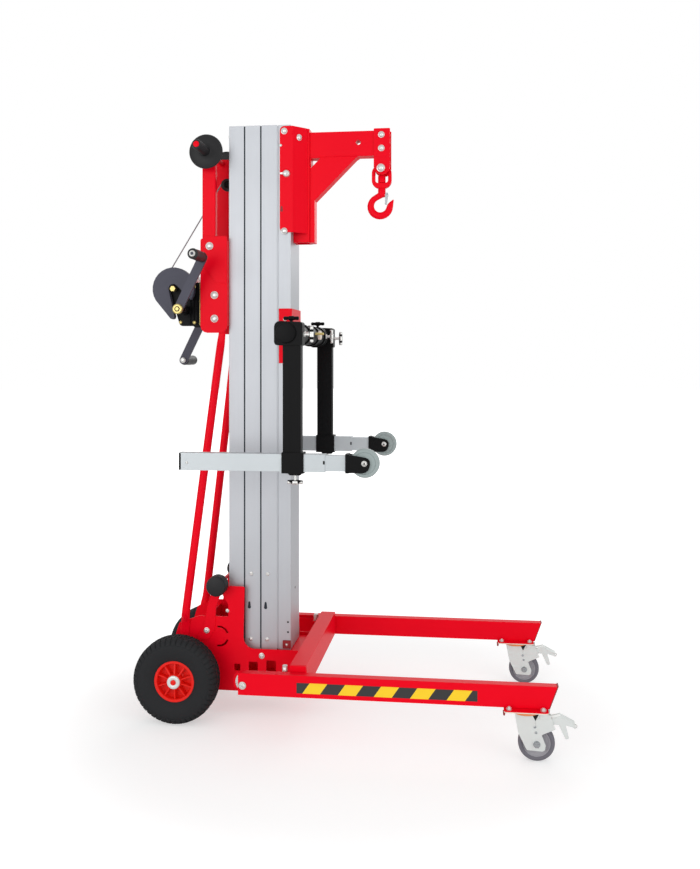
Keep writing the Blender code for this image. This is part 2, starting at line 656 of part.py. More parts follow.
def cross_beam():
    """The beam across the front of the base with the brackets that carry the legs."""
    front = BEAM_REAR_X + BEAM_DEPTH
    low_z = LEG_BOTTOM_Z + 4 * MM
    body = bar_of_box(BEAM_REAR_X, front, -BEAM_HALF, BEAM_HALF, low_z, BEAM_TOP_Z, BEAM_WALL, "Y")
    for _, side in SIDES:
        top = LEG_TOP_Z - 8 * MM
        outline = rounded([
            (LEG_BRACKET_REAR_X, low_z + WELD, 12 * MM), (front - WELD, low_z + WELD, 0),
            (front - WELD, BEAM_TOP_Z - WELD, 0), (BEAM_REAR_X + WELD, BEAM_TOP_Z - WELD, 0),
            (BEAM_REAR_X + WELD, top, 0),
            (LEG_BRACKET_REAR_X, top, 20 * MM),
        ])
        bore = circle(LEG_PIVOT, LEG_BOLT_RADIUS + SEAT)
        end_hole = circle((BEAM_REAR_X + BEAM_DEPTH / 2, (low_z + BEAM_TOP_Z) / 2), 14 * MM)
        layer = span(side, BEAM_HALF - WELD, BEAM_HALF + BRACKET_WALL)
        sheet = plate(outline, "Y", *layer, [bore, end_hole])
        low, high = span(side, BEAM_HALF - LEDGE_DEPTH, BEAM_HALF)
        ledge = box((AXLE_X + LOCK_PIN_X - LEDGE_DEPTH / 2, low, LEDGE_TOP_Z - 6 * MM),
                    (AXLE_X + LOCK_PIN_X + LEDGE_DEPTH / 2, high, LEDGE_TOP_Z))
        hole = rod(axle((LOCK_PIN_X, 0), side * LOCK_PIN_Y), LOCK_PIN_RADIUS + RUNNING, LEDGE_TOP_Z - 20 * MM,
                   LEDGE_TOP_Z + 9 * MM, "Z", 12)
        body = join(body, sheet, cut(ledge, hole))
    piece("cross_beam", body, "red_paint")


def lock_pin(name, side):
    centre = axle((LOCK_PIN_X, 0), side * LOCK_PIN_Y)
    top = LOCK_PIN_TOP_Z
    foot = LEDGE_TOP_Z - 30 * MM
    profile = [
        (0, foot), (LOCK_PIN_RADIUS, foot), (LOCK_PIN_RADIUS, LEDGE_TOP_Z + SEAT),
        (8 * MM, LEDGE_TOP_Z + SEAT),
        (8 * MM, top - 3 * MM), (6 * MM, top), (0, top),
    ]
    piece("lock_pin_" + name, turned(profile, centre, "Z", 12), "zinc", (centre.x, centre.y, LEDGE_TOP_Z))


def leg(name, side):
    low, high = span(side, LEG_Y - LEG_WIDTH / 2, LEG_Y + LEG_WIDTH / 2)
    tip_bottom = LEG_TIP_X - LEG_TIP_SLANT
    outline = [(LEG_REAR_X, LEG_BOTTOM_Z), (tip_bottom, LEG_BOTTOM_Z), (LEG_TIP_X, LEG_TOP_Z),
               (LEG_REAR_X, LEG_TOP_Z)]
    inner = [(LEG_REAR_X - 1 * MM, LEG_BOTTOM_Z + LEG_WALL), (tip_bottom - LEG_WALL, LEG_BOTTOM_Z + LEG_WALL),
             (LEG_TIP_X - 2 * LEG_WALL, LEG_TOP_Z - LEG_WALL), (LEG_REAR_X - 1 * MM, LEG_TOP_Z - LEG_WALL)]
    body = plate(outline, "Y", low, high)
    hollow = plate(inner, "Y", low + LEG_WALL, high - LEG_WALL)
    pivot = axle(LEG_PIVOT)
    bore = rod(pivot, LEG_BOLT_RADIUS + RUNNING, low - 1 * MM, high + 1 * MM)
    origin = axle(LEG_PIVOT, side * LEG_Y)
    piece("leg_" + name, cut(body, hollow, bore), "red_paint", origin)


def leg_pivot(name, side):
    """The bolt through bracket and leg, with the disc that keeps the leg off the bracket."""
    outer = LEG_Y + LEG_WIDTH / 2 + SEAT
    disc = BEAM_HALF + BRACKET_WALL + SEAT
    radius = LEG_BOLT_RADIUS
    profile = [
        (0, BEAM_HALF - 10 * MM), (9 * MM, BEAM_HALF - 10 * MM), (9 * MM, BEAM_HALF - WELD - SEAT),
        (radius, BEAM_HALF - WELD - SEAT),
        (radius, disc), (PIVOT_DISC_RADIUS, disc), (PIVOT_DISC_RADIUS, disc + PIVOT_DISC_DEPTH),
        (radius, disc + PIVOT_DISC_DEPTH), (radius, outer), (14 * MM, outer), (14 * MM, outer + 2 * MM),
        (9 * MM, outer + 2 * MM), (7 * MM, outer + 7 * MM), (4 * MM, outer + 7 * MM),
        (4 * MM, outer + 4 * MM),
        (0, outer + 4 * MM),
    ]
    piece("leg_pivot_" + name, turned(profile, axle(LEG_PIVOT), "Y", 12, side), "zinc")


def caster(name, side):
    kingpin = axle((KINGPIN_X, 0), side * LEG_Y)
    long_half, wide_half, wall = CASTER_PLATE[0] / 2, CASTER_PLATE[1] / 2, CASTER_PLATE[2]
    plate_top = LEG_BOTTOM_Z - SEAT
    outline = rounded([
        (KINGPIN_X - long_half, side * LEG_Y - wide_half, 8 * MM),
        (KINGPIN_X + long_half, side * LEG_Y - wide_half, 8 * MM),
        (KINGPIN_X + long_half, side * LEG_Y + wide_half, 8 * MM),
        (KINGPIN_X - long_half, side * LEG_Y + wide_half, 8 * MM),
    ], 3)
    top = plate(outline, "Z", plate_top - wall, plate_top)
    seal_low = FORK_TOP_Z + SEAT
    seal = rod(kingpin, FORK_HEAD_RADIUS, seal_low, plate_top - WELD, "Z", 16)
    piece("caster_plate_" + name, join(top, seal), "zinc")
    head = rod(kingpin, FORK_HEAD_RADIUS, FORK_TOP_Z - 6 * MM, FORK_TOP_Z, "Z", 16)
    wheel_x = KINGPIN_X + CASTER_TRAIL
    inner = CASTER_WIDTH / 2 + 2.5 * MM
    side_outline = rounded([
        (wheel_x - 12 * MM, CASTER_RADIUS - 16 * MM, 10 * MM),
        (wheel_x + 12 * MM, CASTER_RADIUS - 16 * MM, 10 * MM),
        (KINGPIN_X + 40 * MM, FORK_TOP_Z - 4 * MM, 8 * MM),
        (KINGPIN_X - 28 * MM, FORK_TOP_Z - 4 * MM, 8 * MM),
        (KINGPIN_X - 26 * MM, FORK_TOP_Z - 22 * MM, 0),
    ], 3)
    legs = [plate(side_outline, "Y", side * LEG_Y + low, side * LEG_Y + high)
            for low, high in ((-inner - FORK_WALL, -inner), (inner, inner + FORK_WALL))]
    bridge = plate(rectangle(KINGPIN_X - 28 * MM, FORK_TOP_Z - 10 * MM, KINGPIN_X + 36 * MM,
                             FORK_TOP_Z - 4 * MM),
                   "Y", side * LEG_Y - inner - 1 * MM, side * LEG_Y + inner + 1 * MM)
    reach = inner + FORK_WALL + 5 * MM
    pin = rod(axle((wheel_x, CASTER_RADIUS), side * LEG_Y), CASTER_AXLE_RADIUS, -reach, reach, steps=8)
    piece("caster_fork_" + name, join(bridge, *legs, head, pin), "zinc", (kingpin.x, kingpin.y, FORK_TOP_Z))
    caster_wheel(name, side, wheel_x)
    caster_brake(name, side, inner)


def caster_wheel(name, side, wheel_x):
    centre = axle((wheel_x, CASTER_RADIUS), side * LEG_Y)
    half = CASTER_WIDTH / 2
    bore = CASTER_AXLE_RADIUS + RUNNING
    tread = [(bore, -half), (14 * MM, -half), (18 * MM, -half * 0.5), (34 * MM, -half * 0.5),
             (CASTER_RADIUS - 6 * MM, -half), (CASTER_RADIUS, -half * 0.5)]
    profile = tread + [(radius, -along) for radius, along in reversed(tread)]
    piece("caster_wheel_" + name, turned(profile, centre, "Y", 16), "grey_rubber", centre)


def caster_brake(name, side, inner):
    """The pedal with its two ears outside the fork's legs."""
    middle = side * LEG_Y
    tip = KINGPIN_X + PEDAL_REACH
    outline = rounded([
        (KINGPIN_X + 62 * MM, 118 * MM, 0), (KINGPIN_X + 92 * MM, 126 * MM, 0), (tip, 106 * MM, 2 * MM),
        (tip, 97 * MM, 2 * MM), (KINGPIN_X + 106 * MM, 104 * MM, 0), (tip - 17 * MM, 68 * MM, 3 * MM),
        (tip - 27 * MM, 66 * MM, 3 * MM), (KINGPIN_X + 88 * MM, 104 * MM, 0),
        (KINGPIN_X + 62 * MM, 106 * MM, 0),
    ], 2)
    pedal = plate(outline, "Y", middle - PEDAL_WIDTH / 2, middle + PEDAL_WIDTH / 2)
    ears = []
    for low, high in ((-inner - FORK_WALL - SEAT - 3 * MM, -inner - FORK_WALL - SEAT),
                      (inner + FORK_WALL + SEAT, inner + FORK_WALL + SEAT + 3 * MM)):
        ear = rounded([
            (KINGPIN_X + 26 * MM, 100 * MM, 6 * MM), (KINGPIN_X + 70 * MM, 100 * MM, 0),
            (KINGPIN_X + 70 * MM, 120 * MM, 0), (KINGPIN_X + 26 * MM, 120 * MM, 6 * MM),
        ], 3)
        ears.append(plate(ear, "Y", middle + low, middle + high))
    reach = inner + FORK_WALL + SEAT + 1 * MM
    tie = plate(rectangle(KINGPIN_X + 62 * MM, 106 * MM, KINGPIN_X + 69 * MM, 117 * MM), "Y",
                middle - reach, middle + reach)
    origin = axle((KINGPIN_X + 33 * MM, 110 * MM), middle)
    piece("caster_brake_" + name, join(tie, pedal, *ears), "zinc", origin)


def loading_arms():
    """Both arms, welded on the side plates, and the rod with end caps that carries the rollers."""
    end = LOAD_ROLLER_Y + LOAD_ROLLER_WIDTH / 2 + SEAT
    profile = [(0, -end - 4 * MM), (11 * MM, -end - 4 * MM), (14 * MM, -end), (LOAD_ROD_RADIUS, -end)]
    profile += [(radius, -along) for radius, along in reversed(profile)]
    parts = [turned(profile, axle(LOAD_ROLLER), "Y", 12)]
    x, z = LOAD_ROLLER
    for _, side in SIDES:
        low, high = span(side, PLATE_OUTER_Y - WELD, PLATE_OUTER_Y + LOAD_ARM_WALL)
        outline = rounded([
            (34 * MM, 226 * MM, 8 * MM), (78 * MM, 232 * MM, 8 * MM), (98 * MM, 262 * MM, 6 * MM),
            (102 * MM, 330 * MM, 0),
            (x + 14 * MM, z - 2 * MM, 10 * MM), (x - 4 * MM, z + 14 * MM, 8 * MM),
            (x - 18 * MM, z - 2 * MM, 8 * MM),
            (74 * MM, 330 * MM, 0), (64 * MM, 270 * MM, 0),
        ])
        parts.append(plate(outline, "Y", low, high))
    return parts


def loading_roller(name, side):
    centre = axle(LOAD_ROLLER, side * LOAD_ROLLER_Y)
    wide = LOAD_ROLLER_WIDTH / 2 - SEAT
    bore = LOAD_ROD_RADIUS + RUNNING
    edge = LOAD_ROLLER_RADIUS - 3 * MM
    profile = [(bore, -wide), (edge, -wide), (LOAD_ROLLER_RADIUS, -wide + 3 * MM),
               (LOAD_ROLLER_RADIUS, wide - 3 * MM),
               (edge, wide), (bore, wide)]
    piece("loading_roller_" + name, turned(profile, centre, "Y", 16), "black_rubber", centre)


def mast_outline(rear, with_rail):
    """Plan of one section: a channel open to the front, with a T rail on its back."""
    front = rear + SECTION_DEPTH
    lip = front - SECTION_WALL
    wide = SECTION_HALF_WIDTH
    inside = wide - SECTION_WALL
    head_front = rear - SECTION_GAP - SECTION_WALL - RAIL_PLAY
    half = [(front, SLOT_HALF), (front, wide), (rear, wide)]
    if with_rail:
        half += [(rear, RAIL_NECK_HALF), (head_front, RAIL_NECK_HALF), (head_front, RAIL_HEAD_HALF),
                 (head_front - RAIL_HEAD_WALL, RAIL_HEAD_HALF)]
    inner = [(lip, -SLOT_HALF), (lip, -inside), (rear + SECTION_WALL, -inside)]
    return half + [(x, -y) for x, y in reversed(half)] + inner + [(x, -y) for x, y in reversed(inner)]


def mast_sections():
    for number in (1, 2, 3):
        rear = MAST_REAR_X + (number - 1) * SECTION_PITCH
        bottom = MAST_BOTTOM_Z if number == 1 else STAGE_BOTTOM_Z
        body = plate(mast_outline(rear, number > 1), "Z", bottom, MAST_TOP_Z)
        extras = slide_blocks(number) if number > 1 else [cable_anchor()]
        piece(f"mast_section_{number}", join(body, *extras), "aluminium")
    rear = CARRIAGE_REAR_X
    head_front = rear - SECTION_GAP - SECTION_WALL - RAIL_PLAY
    wide = CARRIAGE_HALF_WIDTH
    half = [(CARRIAGE_FRONT_X, wide), (rear, wide), (rear, RAIL_NECK_HALF), (head_front, RAIL_NECK_HALF),
            (head_front, RAIL_HEAD_HALF), (head_front - RAIL_HEAD_WALL, RAIL_HEAD_HALF)]
    outline = half + [(x, -y) for x, y in reversed(half)]
    hollow = rectangle(rear + SECTION_WALL, -wide + SECTION_WALL, CARRIAGE_FRONT_X - SECTION_WALL,
                       wide - SECTION_WALL)
    profile = plate(outline, "Z", STAGE_BOTTOM_Z, MAST_TOP_Z, [hollow])
    piece("carriage_profile", join(profile, *slide_blocks(4)), "aluminium")


def cable_anchor():
    """The lug on the mast's rear that the lift cable ends in."""
    return box(axle((MAST_REAR_X - 14 * MM, ANCHOR_Z), -9 * MM),
               axle((MAST_REAR_X + WELD, ANCHOR_Z + 16 * MM), 9 * MM))


def slide_blocks(number):
    """Slide blocks beside a section's rail head, inside the channel of the section behind it."""
    channel = MAST_REAR_X + (number - 2) * SECTION_PITCH
    low_x = channel + SECTION_WALL + GLIDE_PLAY
    high_x = channel + SECTION_DEPTH - SECTION_WALL - GLIDE_PLAY
    outer = SECTION_HALF_WIDTH - SECTION_WALL - GLIDE_PLAY
    bottom = STAGE_BOTTOM_Z + 8 * MM
    blocks = []
    for _, side in SIDES:
        low, high = span(side, RAIL_HEAD_HALF - WELD, outer)
        blocks.append(box((AXLE_X + low_x, low, bottom), (AXLE_X + high_x, high, bottom + GLIDE_LENGTH)))
    return blocks


def winch_bracket():
    side_outline = rounded([
        (BOX_REAR_X, BOX_BOTTOM_Z, BOX_CORNER), (BOX_FRONT_X, BOX_BOTTOM_Z, BOX_CORNER),
        (BOX_FRONT_X, BOX_TOP_Z, 0), (BOX_REAR_X, BOX_TOP_Z, 6 * MM),
    ])
    inner = BOX_HALF_WIDTH - BOX_WALL
    sides = [plate(side_outline, "Y", *span(side, inner, BOX_HALF_WIDTH)) for _, side in SIDES]
    for _, side in SIDES:
        low, high = span(side, BOX_HALF_WIDTH - WELD, BOX_HALF_WIDTH + DOUBLER_WALL)
        outline = rounded([
            (BOX_FRONT_X - DOUBLER_WIDTH, DOUBLER_BOTTOM_Z, 0), (BOX_FRONT_X - WELD, DOUBLER_BOTTOM_Z, 0),
            (BOX_FRONT_X - WELD, BOX_TOP_Z + 6 * MM, 4 * MM),
            (BOX_REAR_X + 6 * MM, BOX_TOP_Z + 6 * MM, 10 * MM),
            (BOX_REAR_X + 6 * MM, DOUBLER_BOTTOM_Z + 62 * MM, 0),
        ])
        sides.append(plate(outline, "Y", low, high))
    web_bottom = BOX_BOTTOM_Z + BOX_CORNER
    webs = [plate(rectangle(x, web_bottom, x + BOX_WEB, BOX_TOP_Z - 8 * MM), "Y", -inner - 1 * MM,
                  inner + 1 * MM)
            for x in (BOX_REAR_X, BOX_FRONT_X - BOX_WEB)]
    piece("winch_bracket", join(webs[0], *sides, webs[1]), "red_paint")


def handle_frame():
    depth, width = HANDLE_TUBE
    outer = BOX_HALF_WIDTH - BOX_WALL - SEAT
    bottom = BOX_BOTTOM_Z + 120 * MM
    top = HANDLE_AXIS_Z + 14 * MM
    bar = rod(axle((HANDLE_AXIS_X, HANDLE_AXIS_Z)), HANDLE_BAR_RADIUS, -GUARD_Y - GRIP_LENGTH - 10 * MM,
              GUARD_Y + GRIP_LENGTH + 10 * MM, steps=16)
    tubes = []
    for _, side in SIDES:
        low, high = span(side, outer - width, outer)
        outline = rectangle(HANDLE_REAR_X, low, HANDLE_REAR_X + depth, high, 3 * MM)
        tubes.append(plate(outline, "Z", bottom, top))
    piece("handle_frame", join(bar, *tubes), "red_paint")


def handle_grip(name, side):
    centre = axle((HANDLE_AXIS_X, HANDLE_AXIS_Z))
    bore = HANDLE_BAR_RADIUS + SEAT
    end = GUARD_Y + GRIP_LENGTH + 8 * MM
    profile = [
        (bore, GUARD_Y), (GUARD_RADIUS - 8 * MM, GUARD_Y), (GUARD_RADIUS, GUARD_Y + 3 * MM),
        (GUARD_RADIUS, GUARD_Y + 6 * MM), (GUARD_RADIUS - 12 * MM, GUARD_Y + 11 * MM),
        (19 * MM, GUARD_Y + 13 * MM),
        (GRIP_RADIUS, GUARD_Y + 20 * MM), (GRIP_RADIUS + 1 * MM, GUARD_Y + 50 * MM),
        (GRIP_RADIUS, end - 4 * MM),
        (GRIP_RADIUS - 3 * MM, end), (bore, end),
    ]
    piece("handle_grip_" + name, turned(profile, centre, "Y", 12, side), "black_rubber")


def stay(name, side):
    """A round tube flattened at both ends, from the side plate up to the inside of the winch bracket."""
    foot_y = PLATE_OUTER_Y + SEAT + STAY_FLAT / 2
    head_y = BOX_HALF_WIDTH - BOX_WALL - SEAT - STAY_FLAT / 2
    flat = (14 * MM, STAY_FLAT / 2)
    full = (STAY_RADIUS, STAY_RADIUS)
    lean = (STAY_HEAD[0] - STAY_FOOT[0]) / (STAY_HEAD[1] - STAY_FOOT[1])
    stations = [(STAY_FOOT[1] - 20 * MM, foot_y, flat), (STAY_FOOT[1] + 24 * MM, foot_y, flat),
                (STAY_FOOT[1] + 52 * MM, PLATE_OUTER_Y + 14 * MM, full),
                (BOX_BOTTOM_Z - 60 * MM, head_y - 1 * MM, full),
                (BOX_BOTTOM_Z - 20 * MM, head_y, (12 * MM, STAY_FLAT / 2)),
                (BOX_BOTTOM_Z + 30 * MM, head_y, (9 * MM, STAY_FLAT / 2))]
    points = []
    for z, y, _ in stations:
        points.append(axle((STAY_FOOT[0] + lean * (z - STAY_FOOT[1]), z), side * y))
    bm = bmesh.new()
    rings = []
    sides = 8
    for point, (_, _, (half, depth)) in zip(points, stations):
        ring = []
        for k in range(sides):
            angle = 2 * math.pi * k / sides
            ring.append(bm.verts.new(point + Vector((half * math.cos(angle), depth * math.sin(angle), 0))))
        rings.append(ring)
    for one, two in zip(rings, rings[1:]):
        for k in range(sides):
            m = (k + 1) % sides
            bm.faces.new((one[k], one[m], two[m], two[k]))
    bm.faces.new(rings[0])
    bm.faces.new(rings[-1])
    piece("stay_" + name, outward(bm), "red_paint")


def gear_outline(teeth, centre, phase):
    """Involute teeth, three points to a flank, thinned by the backlash."""
    pitch = GEAR_MODULE * teeth / 2
    base = pitch * math.cos(PRESSURE_ANGLE)
    tip = pitch + 0.9 * GEAR_MODULE
    root = pitch - 1.25 * GEAR_MODULE
    thick = math.pi * GEAR_MODULE / 2 - BACKLASH

    def involute(angle):
        return math.tan(angle) - angle

    def half_angle(radius):
        at = math.acos(min(1.0, base / radius))
        return thick / (2 * pitch) + involute(PRESSURE_ANGLE) - involute(at)

    radii = (root, pitch, tip)
    points = []
    for tooth in range(teeth):
        middle = phase + 2 * math.pi * tooth / teeth
        flank = [(radius, -half_angle(radius)) for radius in radii]
        flank += [(radius, half_angle(radius)) for radius in reversed(radii)]
        for radius, offset in flank:
            angle = middle + offset
            points.append((centre[0] + radius * math.cos(angle), centre[1] + radius * math.sin(angle)))
    return points


def winch_frame():
    """One bent sheet: two cheeks with lightening windows and the base that bolts on the bracket's rear."""
    low_x = BOX_REAR_X - SEAT - WINCH_WALL
    drum_x, drum_z = DRUM_AXIS
    cheek = rounded([
        (drum_x + 16 * MM, WINCH_BOTTOM_Z, 12 * MM), (low_x + WELD, WINCH_BOTTOM_Z, 0),
        (low_x + WELD, WINCH_TOP_Z, 0),
        (drum_x, WINCH_TOP_Z, 18 * MM), (drum_x - 19 * MM, WINCH_TOP_Z - 24 * MM, 12 * MM),
    ])
    rear_window = ((16, -15), (18, -46), (40, -22))
    front_window = ((50, 0), (47, -22), (64, 0))
    holes = [circle(DRUM_AXIS, DRUM_BOLT_RADIUS + SEAT, 16),
             circle(CRANK_AXIS, CRANK_SHAFT_RADIUS + RUNNING, 16)]
    for window in (rear_window, front_window):
        holes.append([(drum_x + x * MM, drum_z + z * MM) for x, z in window])
    layers = [span(side, WINCH_HALF_WIDTH - WINCH_WALL, WINCH_HALF_WIDTH) for _, side in SIDES]
    cheeks = [plate(cheek, "Y", *layer, holes) for layer in layers]
    base = plate(rectangle(low_x, WINCH_BOTTOM_Z, low_x + WINCH_WALL, WINCH_TOP_Z), "Y", -WINCH_BASE_HALF,
                 WINCH_BASE_HALF)
    piece("winch_frame", join(base, *cheeks), "slate_paint")


def winch_cover():
    """A shallow pan over the gears, with a V-shaped cut-out under the drum bolt."""
    tip = (DRUM_AXIS[0] + 16 * MM, DRUM_AXIS[1] - 110 * MM)
    tail = rounded([
        (DRUM_AXIS[0] - COVER_RADIUS, DRUM_AXIS[1] - 30 * MM, 0), (tip[0] - 4 * MM, tip[1] - 6 * MM, 8 * MM),
        (DRUM_AXIS[0] - 16 * MM, DRUM_AXIS[1] - 4 * MM, 0),
    ], 3)[1:-1]
    sheet = arc(DRUM_AXIS, COVER_RADIUS, -32, 212, 20) + tail
    sheet += arc(DRUM_AXIS, 15 * MM, 190, 40, 5)
    inner_y = WINCH_HALF_WIDTH + SEAT
    pan = plate(sheet, "Y", -inner_y - COVER_DEPTH, -inner_y)
    back = [face for face in pan.faces if face.normal.y > 0.9]
    bmesh.ops.inset_region(pan, faces=back, thickness=COVER_WALL, use_even_offset=True)
    bmesh.ops.translate(pan, vec=(0, -(COVER_DEPTH - COVER_WALL), 0),
                        verts=list({v for f in back for v in f.verts}))
    hole = rod(axle(DRUM_AXIS), DRUM_BOLT_RADIUS + SEAT, -inner_y - COVER_DEPTH - 1 * MM, 0)
    piece("winch_cover", cut(pan, hole), "slate_paint")


def winch_drum():
    centre = axle(DRUM_AXIS)
    bore = DRUM_BOLT_RADIUS + RUNNING
    gear_low = -(WINCH_HALF_WIDTH - WINCH_WALL) + 2 * MM
    gear_high = gear_low + GEAR_FACE
    start = gear_high
    end = WINCH_HALF_WIDTH - WINCH_WALL - 3 * MM
    flange = 3 * MM
    drum = [
        (bore, start), (DRUM_FLANGE_RADIUS, start), (DRUM_FLANGE_RADIUS, start + flange),
        (DRUM_CORE_RADIUS, start + flange),
        (DRUM_CORE_RADIUS, end - flange), (DRUM_FLANGE_RADIUS, end - flange), (DRUM_FLANGE_RADIUS, end),
        (bore, end),
    ]
    first = start + flange + SEAT
    last = end - flange - SEAT
    turns = 3
    width = (last - first) / turns
    core = DRUM_CORE_RADIUS + SEAT
    wound = [(core, first)]
    for i in range(turns):
        wound += [(WINDING_RADIUS - 2 * MM, first + width * i + width * 0.06),
                  (WINDING_RADIUS, first + width * (i + 0.5))]
    wound += [(WINDING_RADIUS - 2 * MM, last), (core, last)]
    piece("wound_cable", turned(wound, centre, "Y", 16), "cable_steel", centre)
    bearing = CRANK_BEARING
    outline = gear_outline(GEAR_TEETH, DRUM_AXIS, bearing + math.pi / GEAR_TEETH)
    gear = plate(outline, "Y", gear_low, start + WELD, [circle(DRUM_AXIS, bore, 16)])
    piece("drum", join(turned(drum, centre, "Y", 16), gear), "zinc", centre)
    reach = WINCH_HALF_WIDTH + SEAT + COVER_DEPTH + SEAT
    profile = [
        (0, -reach - 7 * MM), (9 * MM, -reach - 7 * MM), (10 * MM, -reach), (DRUM_BOLT_RADIUS, -reach),
        (DRUM_BOLT_RADIUS, WINCH_HALF_WIDTH + SEAT), (12 * MM, WINCH_HALF_WIDTH + SEAT),
        (12 * MM, WINCH_HALF_WIDTH + 8 * MM), (0, WINCH_HALF_WIDTH + 8 * MM),
    ]
    piece("drum_bolt", turned(profile, centre, "Y", 16), "yellow_zinc")
    phase = bearing + math.pi
    pinion = gear_outline(PINION_TEETH, CRANK_AXIS, phase)
    bore_ring = circle(CRANK_AXIS, CRANK_SHAFT_RADIUS + SEAT, 16)
    piece("crank_pinion", plate(pinion, "Y", gear_low, gear_high - RUNNING, [bore_ring]), "zinc",
          axle(CRANK_AXIS))


def crank_end(side):
    """Place of a crank arm's outer end; the two arms point opposite ways."""
    turn = -side * CRANK_REACH
    return (CRANK_AXIS[0] + turn * math.sin(CRANK_LEAN), CRANK_AXIS[1] + turn * math.cos(CRANK_LEAN))


def crank():
    centre = axle(CRANK_AXIS)
    shaft_end = CRANK_ARM_Y + WELD
    shaft = rod(centre, CRANK_SHAFT_RADIUS, -shaft_end, shaft_end)
    extras = []
    grip_end = CRANK_ARM_Y + CRANK_ARM_WALL + KNOB_LENGTH
    for _, side in SIDES:
        low, high = span(side, CRANK_ARM_Y, CRANK_ARM_Y + CRANK_ARM_WALL)
        end = crank_end(side)
        lean = math.degrees(math.atan2(end[1] - CRANK_AXIS[1], end[0] - CRANK_AXIS[0]))
        outline = arc(CRANK_AXIS, CRANK_ARM_HALF, lean + 90, lean + 270, 9)
        outline += arc(end, CRANK_ARM_HALF, lean - 90, lean + 90, 9)
        extras.append(plate(outline, "Y", low, high))
        collar = span(side, CRANK_ARM_Y - CRANK_COLLAR_LENGTH, CRANK_ARM_Y + 1 * MM)
        extras.append(rod(centre, CRANK_COLLAR_RADIUS, *collar))
        stud = [(0, CRANK_ARM_Y + 2 * MM), (KNOB_STUD_RADIUS, CRANK_ARM_Y + 2 * MM),
                (KNOB_STUD_RADIUS, grip_end),
                (9 * MM, grip_end), (9 * MM, grip_end + 3 * MM), (5 * MM, grip_end + 5 * MM),
                (0, grip_end + 5 * MM)]
        extras.append(turned(stud, axle(end), "Y", 12, side))
        start = CRANK_ARM_Y + CRANK_ARM_WALL
        radius, depth = RING_NUT
        ring = [(0, start - WELD), (radius, start - WELD), (radius, start + depth * 0.7),
                (radius - 3 * MM, start + depth),
                (8 * MM, start + depth), (7 * MM, start + depth * 0.7), (0, start + depth * 0.7)]
        extras.append(turned(ring, centre, "Y", 12, side))
    piece("crank", join(shaft, *extras), "slate_paint", centre)


def crank_grip(name, side):
    end = crank_end(side)
    start = CRANK_ARM_Y + CRANK_ARM_WALL + SEAT
    stop = start + KNOB_LENGTH - 2 * SEAT
    bore = KNOB_STUD_RADIUS + RUNNING
    profile = [
        (bore, start), (KNOB_RADIUS - 3 * MM, start), (KNOB_RADIUS - 1 * MM, start + 4 * MM),
        (KNOB_RADIUS, (start + stop) / 2), (KNOB_RADIUS - 1 * MM, stop - 4 * MM),
        (KNOB_RADIUS - 4 * MM, stop), (bore, stop),
    ]
    centre = axle(end)
    piece("crank_grip_" + name, turned(profile, centre, "Y", 12, side), "black_plastic",
          axle(end, side * start))


def pulley_block():
    centre = axle((PULLEY_X, PULLEY_Z))
    half = PULLEY_HALF_WIDTH
    bore = 4.5 * MM
    wheel = [(bore, -half), (PULLEY_RADIUS, -half), (PULLEY_RADIUS, -half + 2 * MM),
             (PULLEY_GROOVE_RADIUS, -1 * MM),
             (PULLEY_GROOVE_RADIUS, 1 * MM), (PULLEY_RADIUS, half - 2 * MM), (PULLEY_RADIUS, half),
             (bore, half)]
    piece("guide_pulley", turned(wheel, centre, "Y", 12), "black_plastic", centre)
    front = MAST_REAR_X - SEAT
    outline = rounded([
        (PULLEY_X - 8 * MM, PULLEY_Z - 8 * MM, 6 * MM), (front, PULLEY_Z - 22 * MM, 0),
        (front, PULLEY_Z + 22 * MM, 0),
        (PULLEY_X - 8 * MM, PULLEY_Z + 8 * MM, 6 * MM),
    ], 3)
    inner = half + 0.8 * MM
    cheeks = [plate(outline, "Y", *span(side, inner, inner + PULLEY_CHEEK)) for _, side in SIDES]
    pin = rod(centre, bore - RUNNING, -inner - PULLEY_CHEEK - 3 * MM, inner + PULLEY_CHEEK + 3 * MM, steps=12)
    piece("pulley_bracket", join(pin, *cheeks), "black_paint")


def lift_cable():
    """The taut cable: off the drum, over the guide pulley and down the mast's rear to its anchor."""
    lay = WINDING_RADIUS + CABLE_RADIUS + RUNNING
    wrap = PULLEY_GROOVE_RADIUS + CABLE_RADIUS + SEAT
    drum = Vector(DRUM_AXIS)
    pulley = Vector((PULLEY_X, PULLEY_Z))
    between = pulley - drum
    heading = math.atan2(between.y, between.x) - math.asin((lay - wrap) / between.length)
    normal = Vector((-math.sin(heading), math.cos(heading)))
    start = drum + normal * lay
    meet = pulley + normal * wrap
    route = []
    straight = 12
    for i in range(straight):
        share = i / straight
        point = start.lerp(meet, share)
        route.append(axle(point, CABLE_DRUM_Y * (1 - share)))
    first = math.degrees(heading) + 90
    for point in arc(tuple(pulley), wrap, first, 0, 9):
        route.append(axle(point))
    anchor_top = ANCHOR_Z + 16 * MM + SEAT
    down = 14
    for i in range(1, down + 1):
        route.append(axle((PULLEY_X + wrap, PULLEY_Z + (anchor_top - PULLEY_Z) * i / down)))
    curve = bpy.data.curves.new("lift_cable", "CURVE")
    curve.dimensions = "3D"
    curve.bevel_depth = CABLE_RADIUS
    curve.bevel_resolution = 2
    curve.use_fill_caps = True
    spline = curve.splines.new("POLY")
    spline.points.add(len(route) - 1)
    for point, place in zip(spline.points, route):
        point.co = (*place, 1.0)
    curve.materials.append(finish_material("cable_steel"))
    bpy.context.collection.objects.link(bpy.data.objects.new("lift_cable", curve))


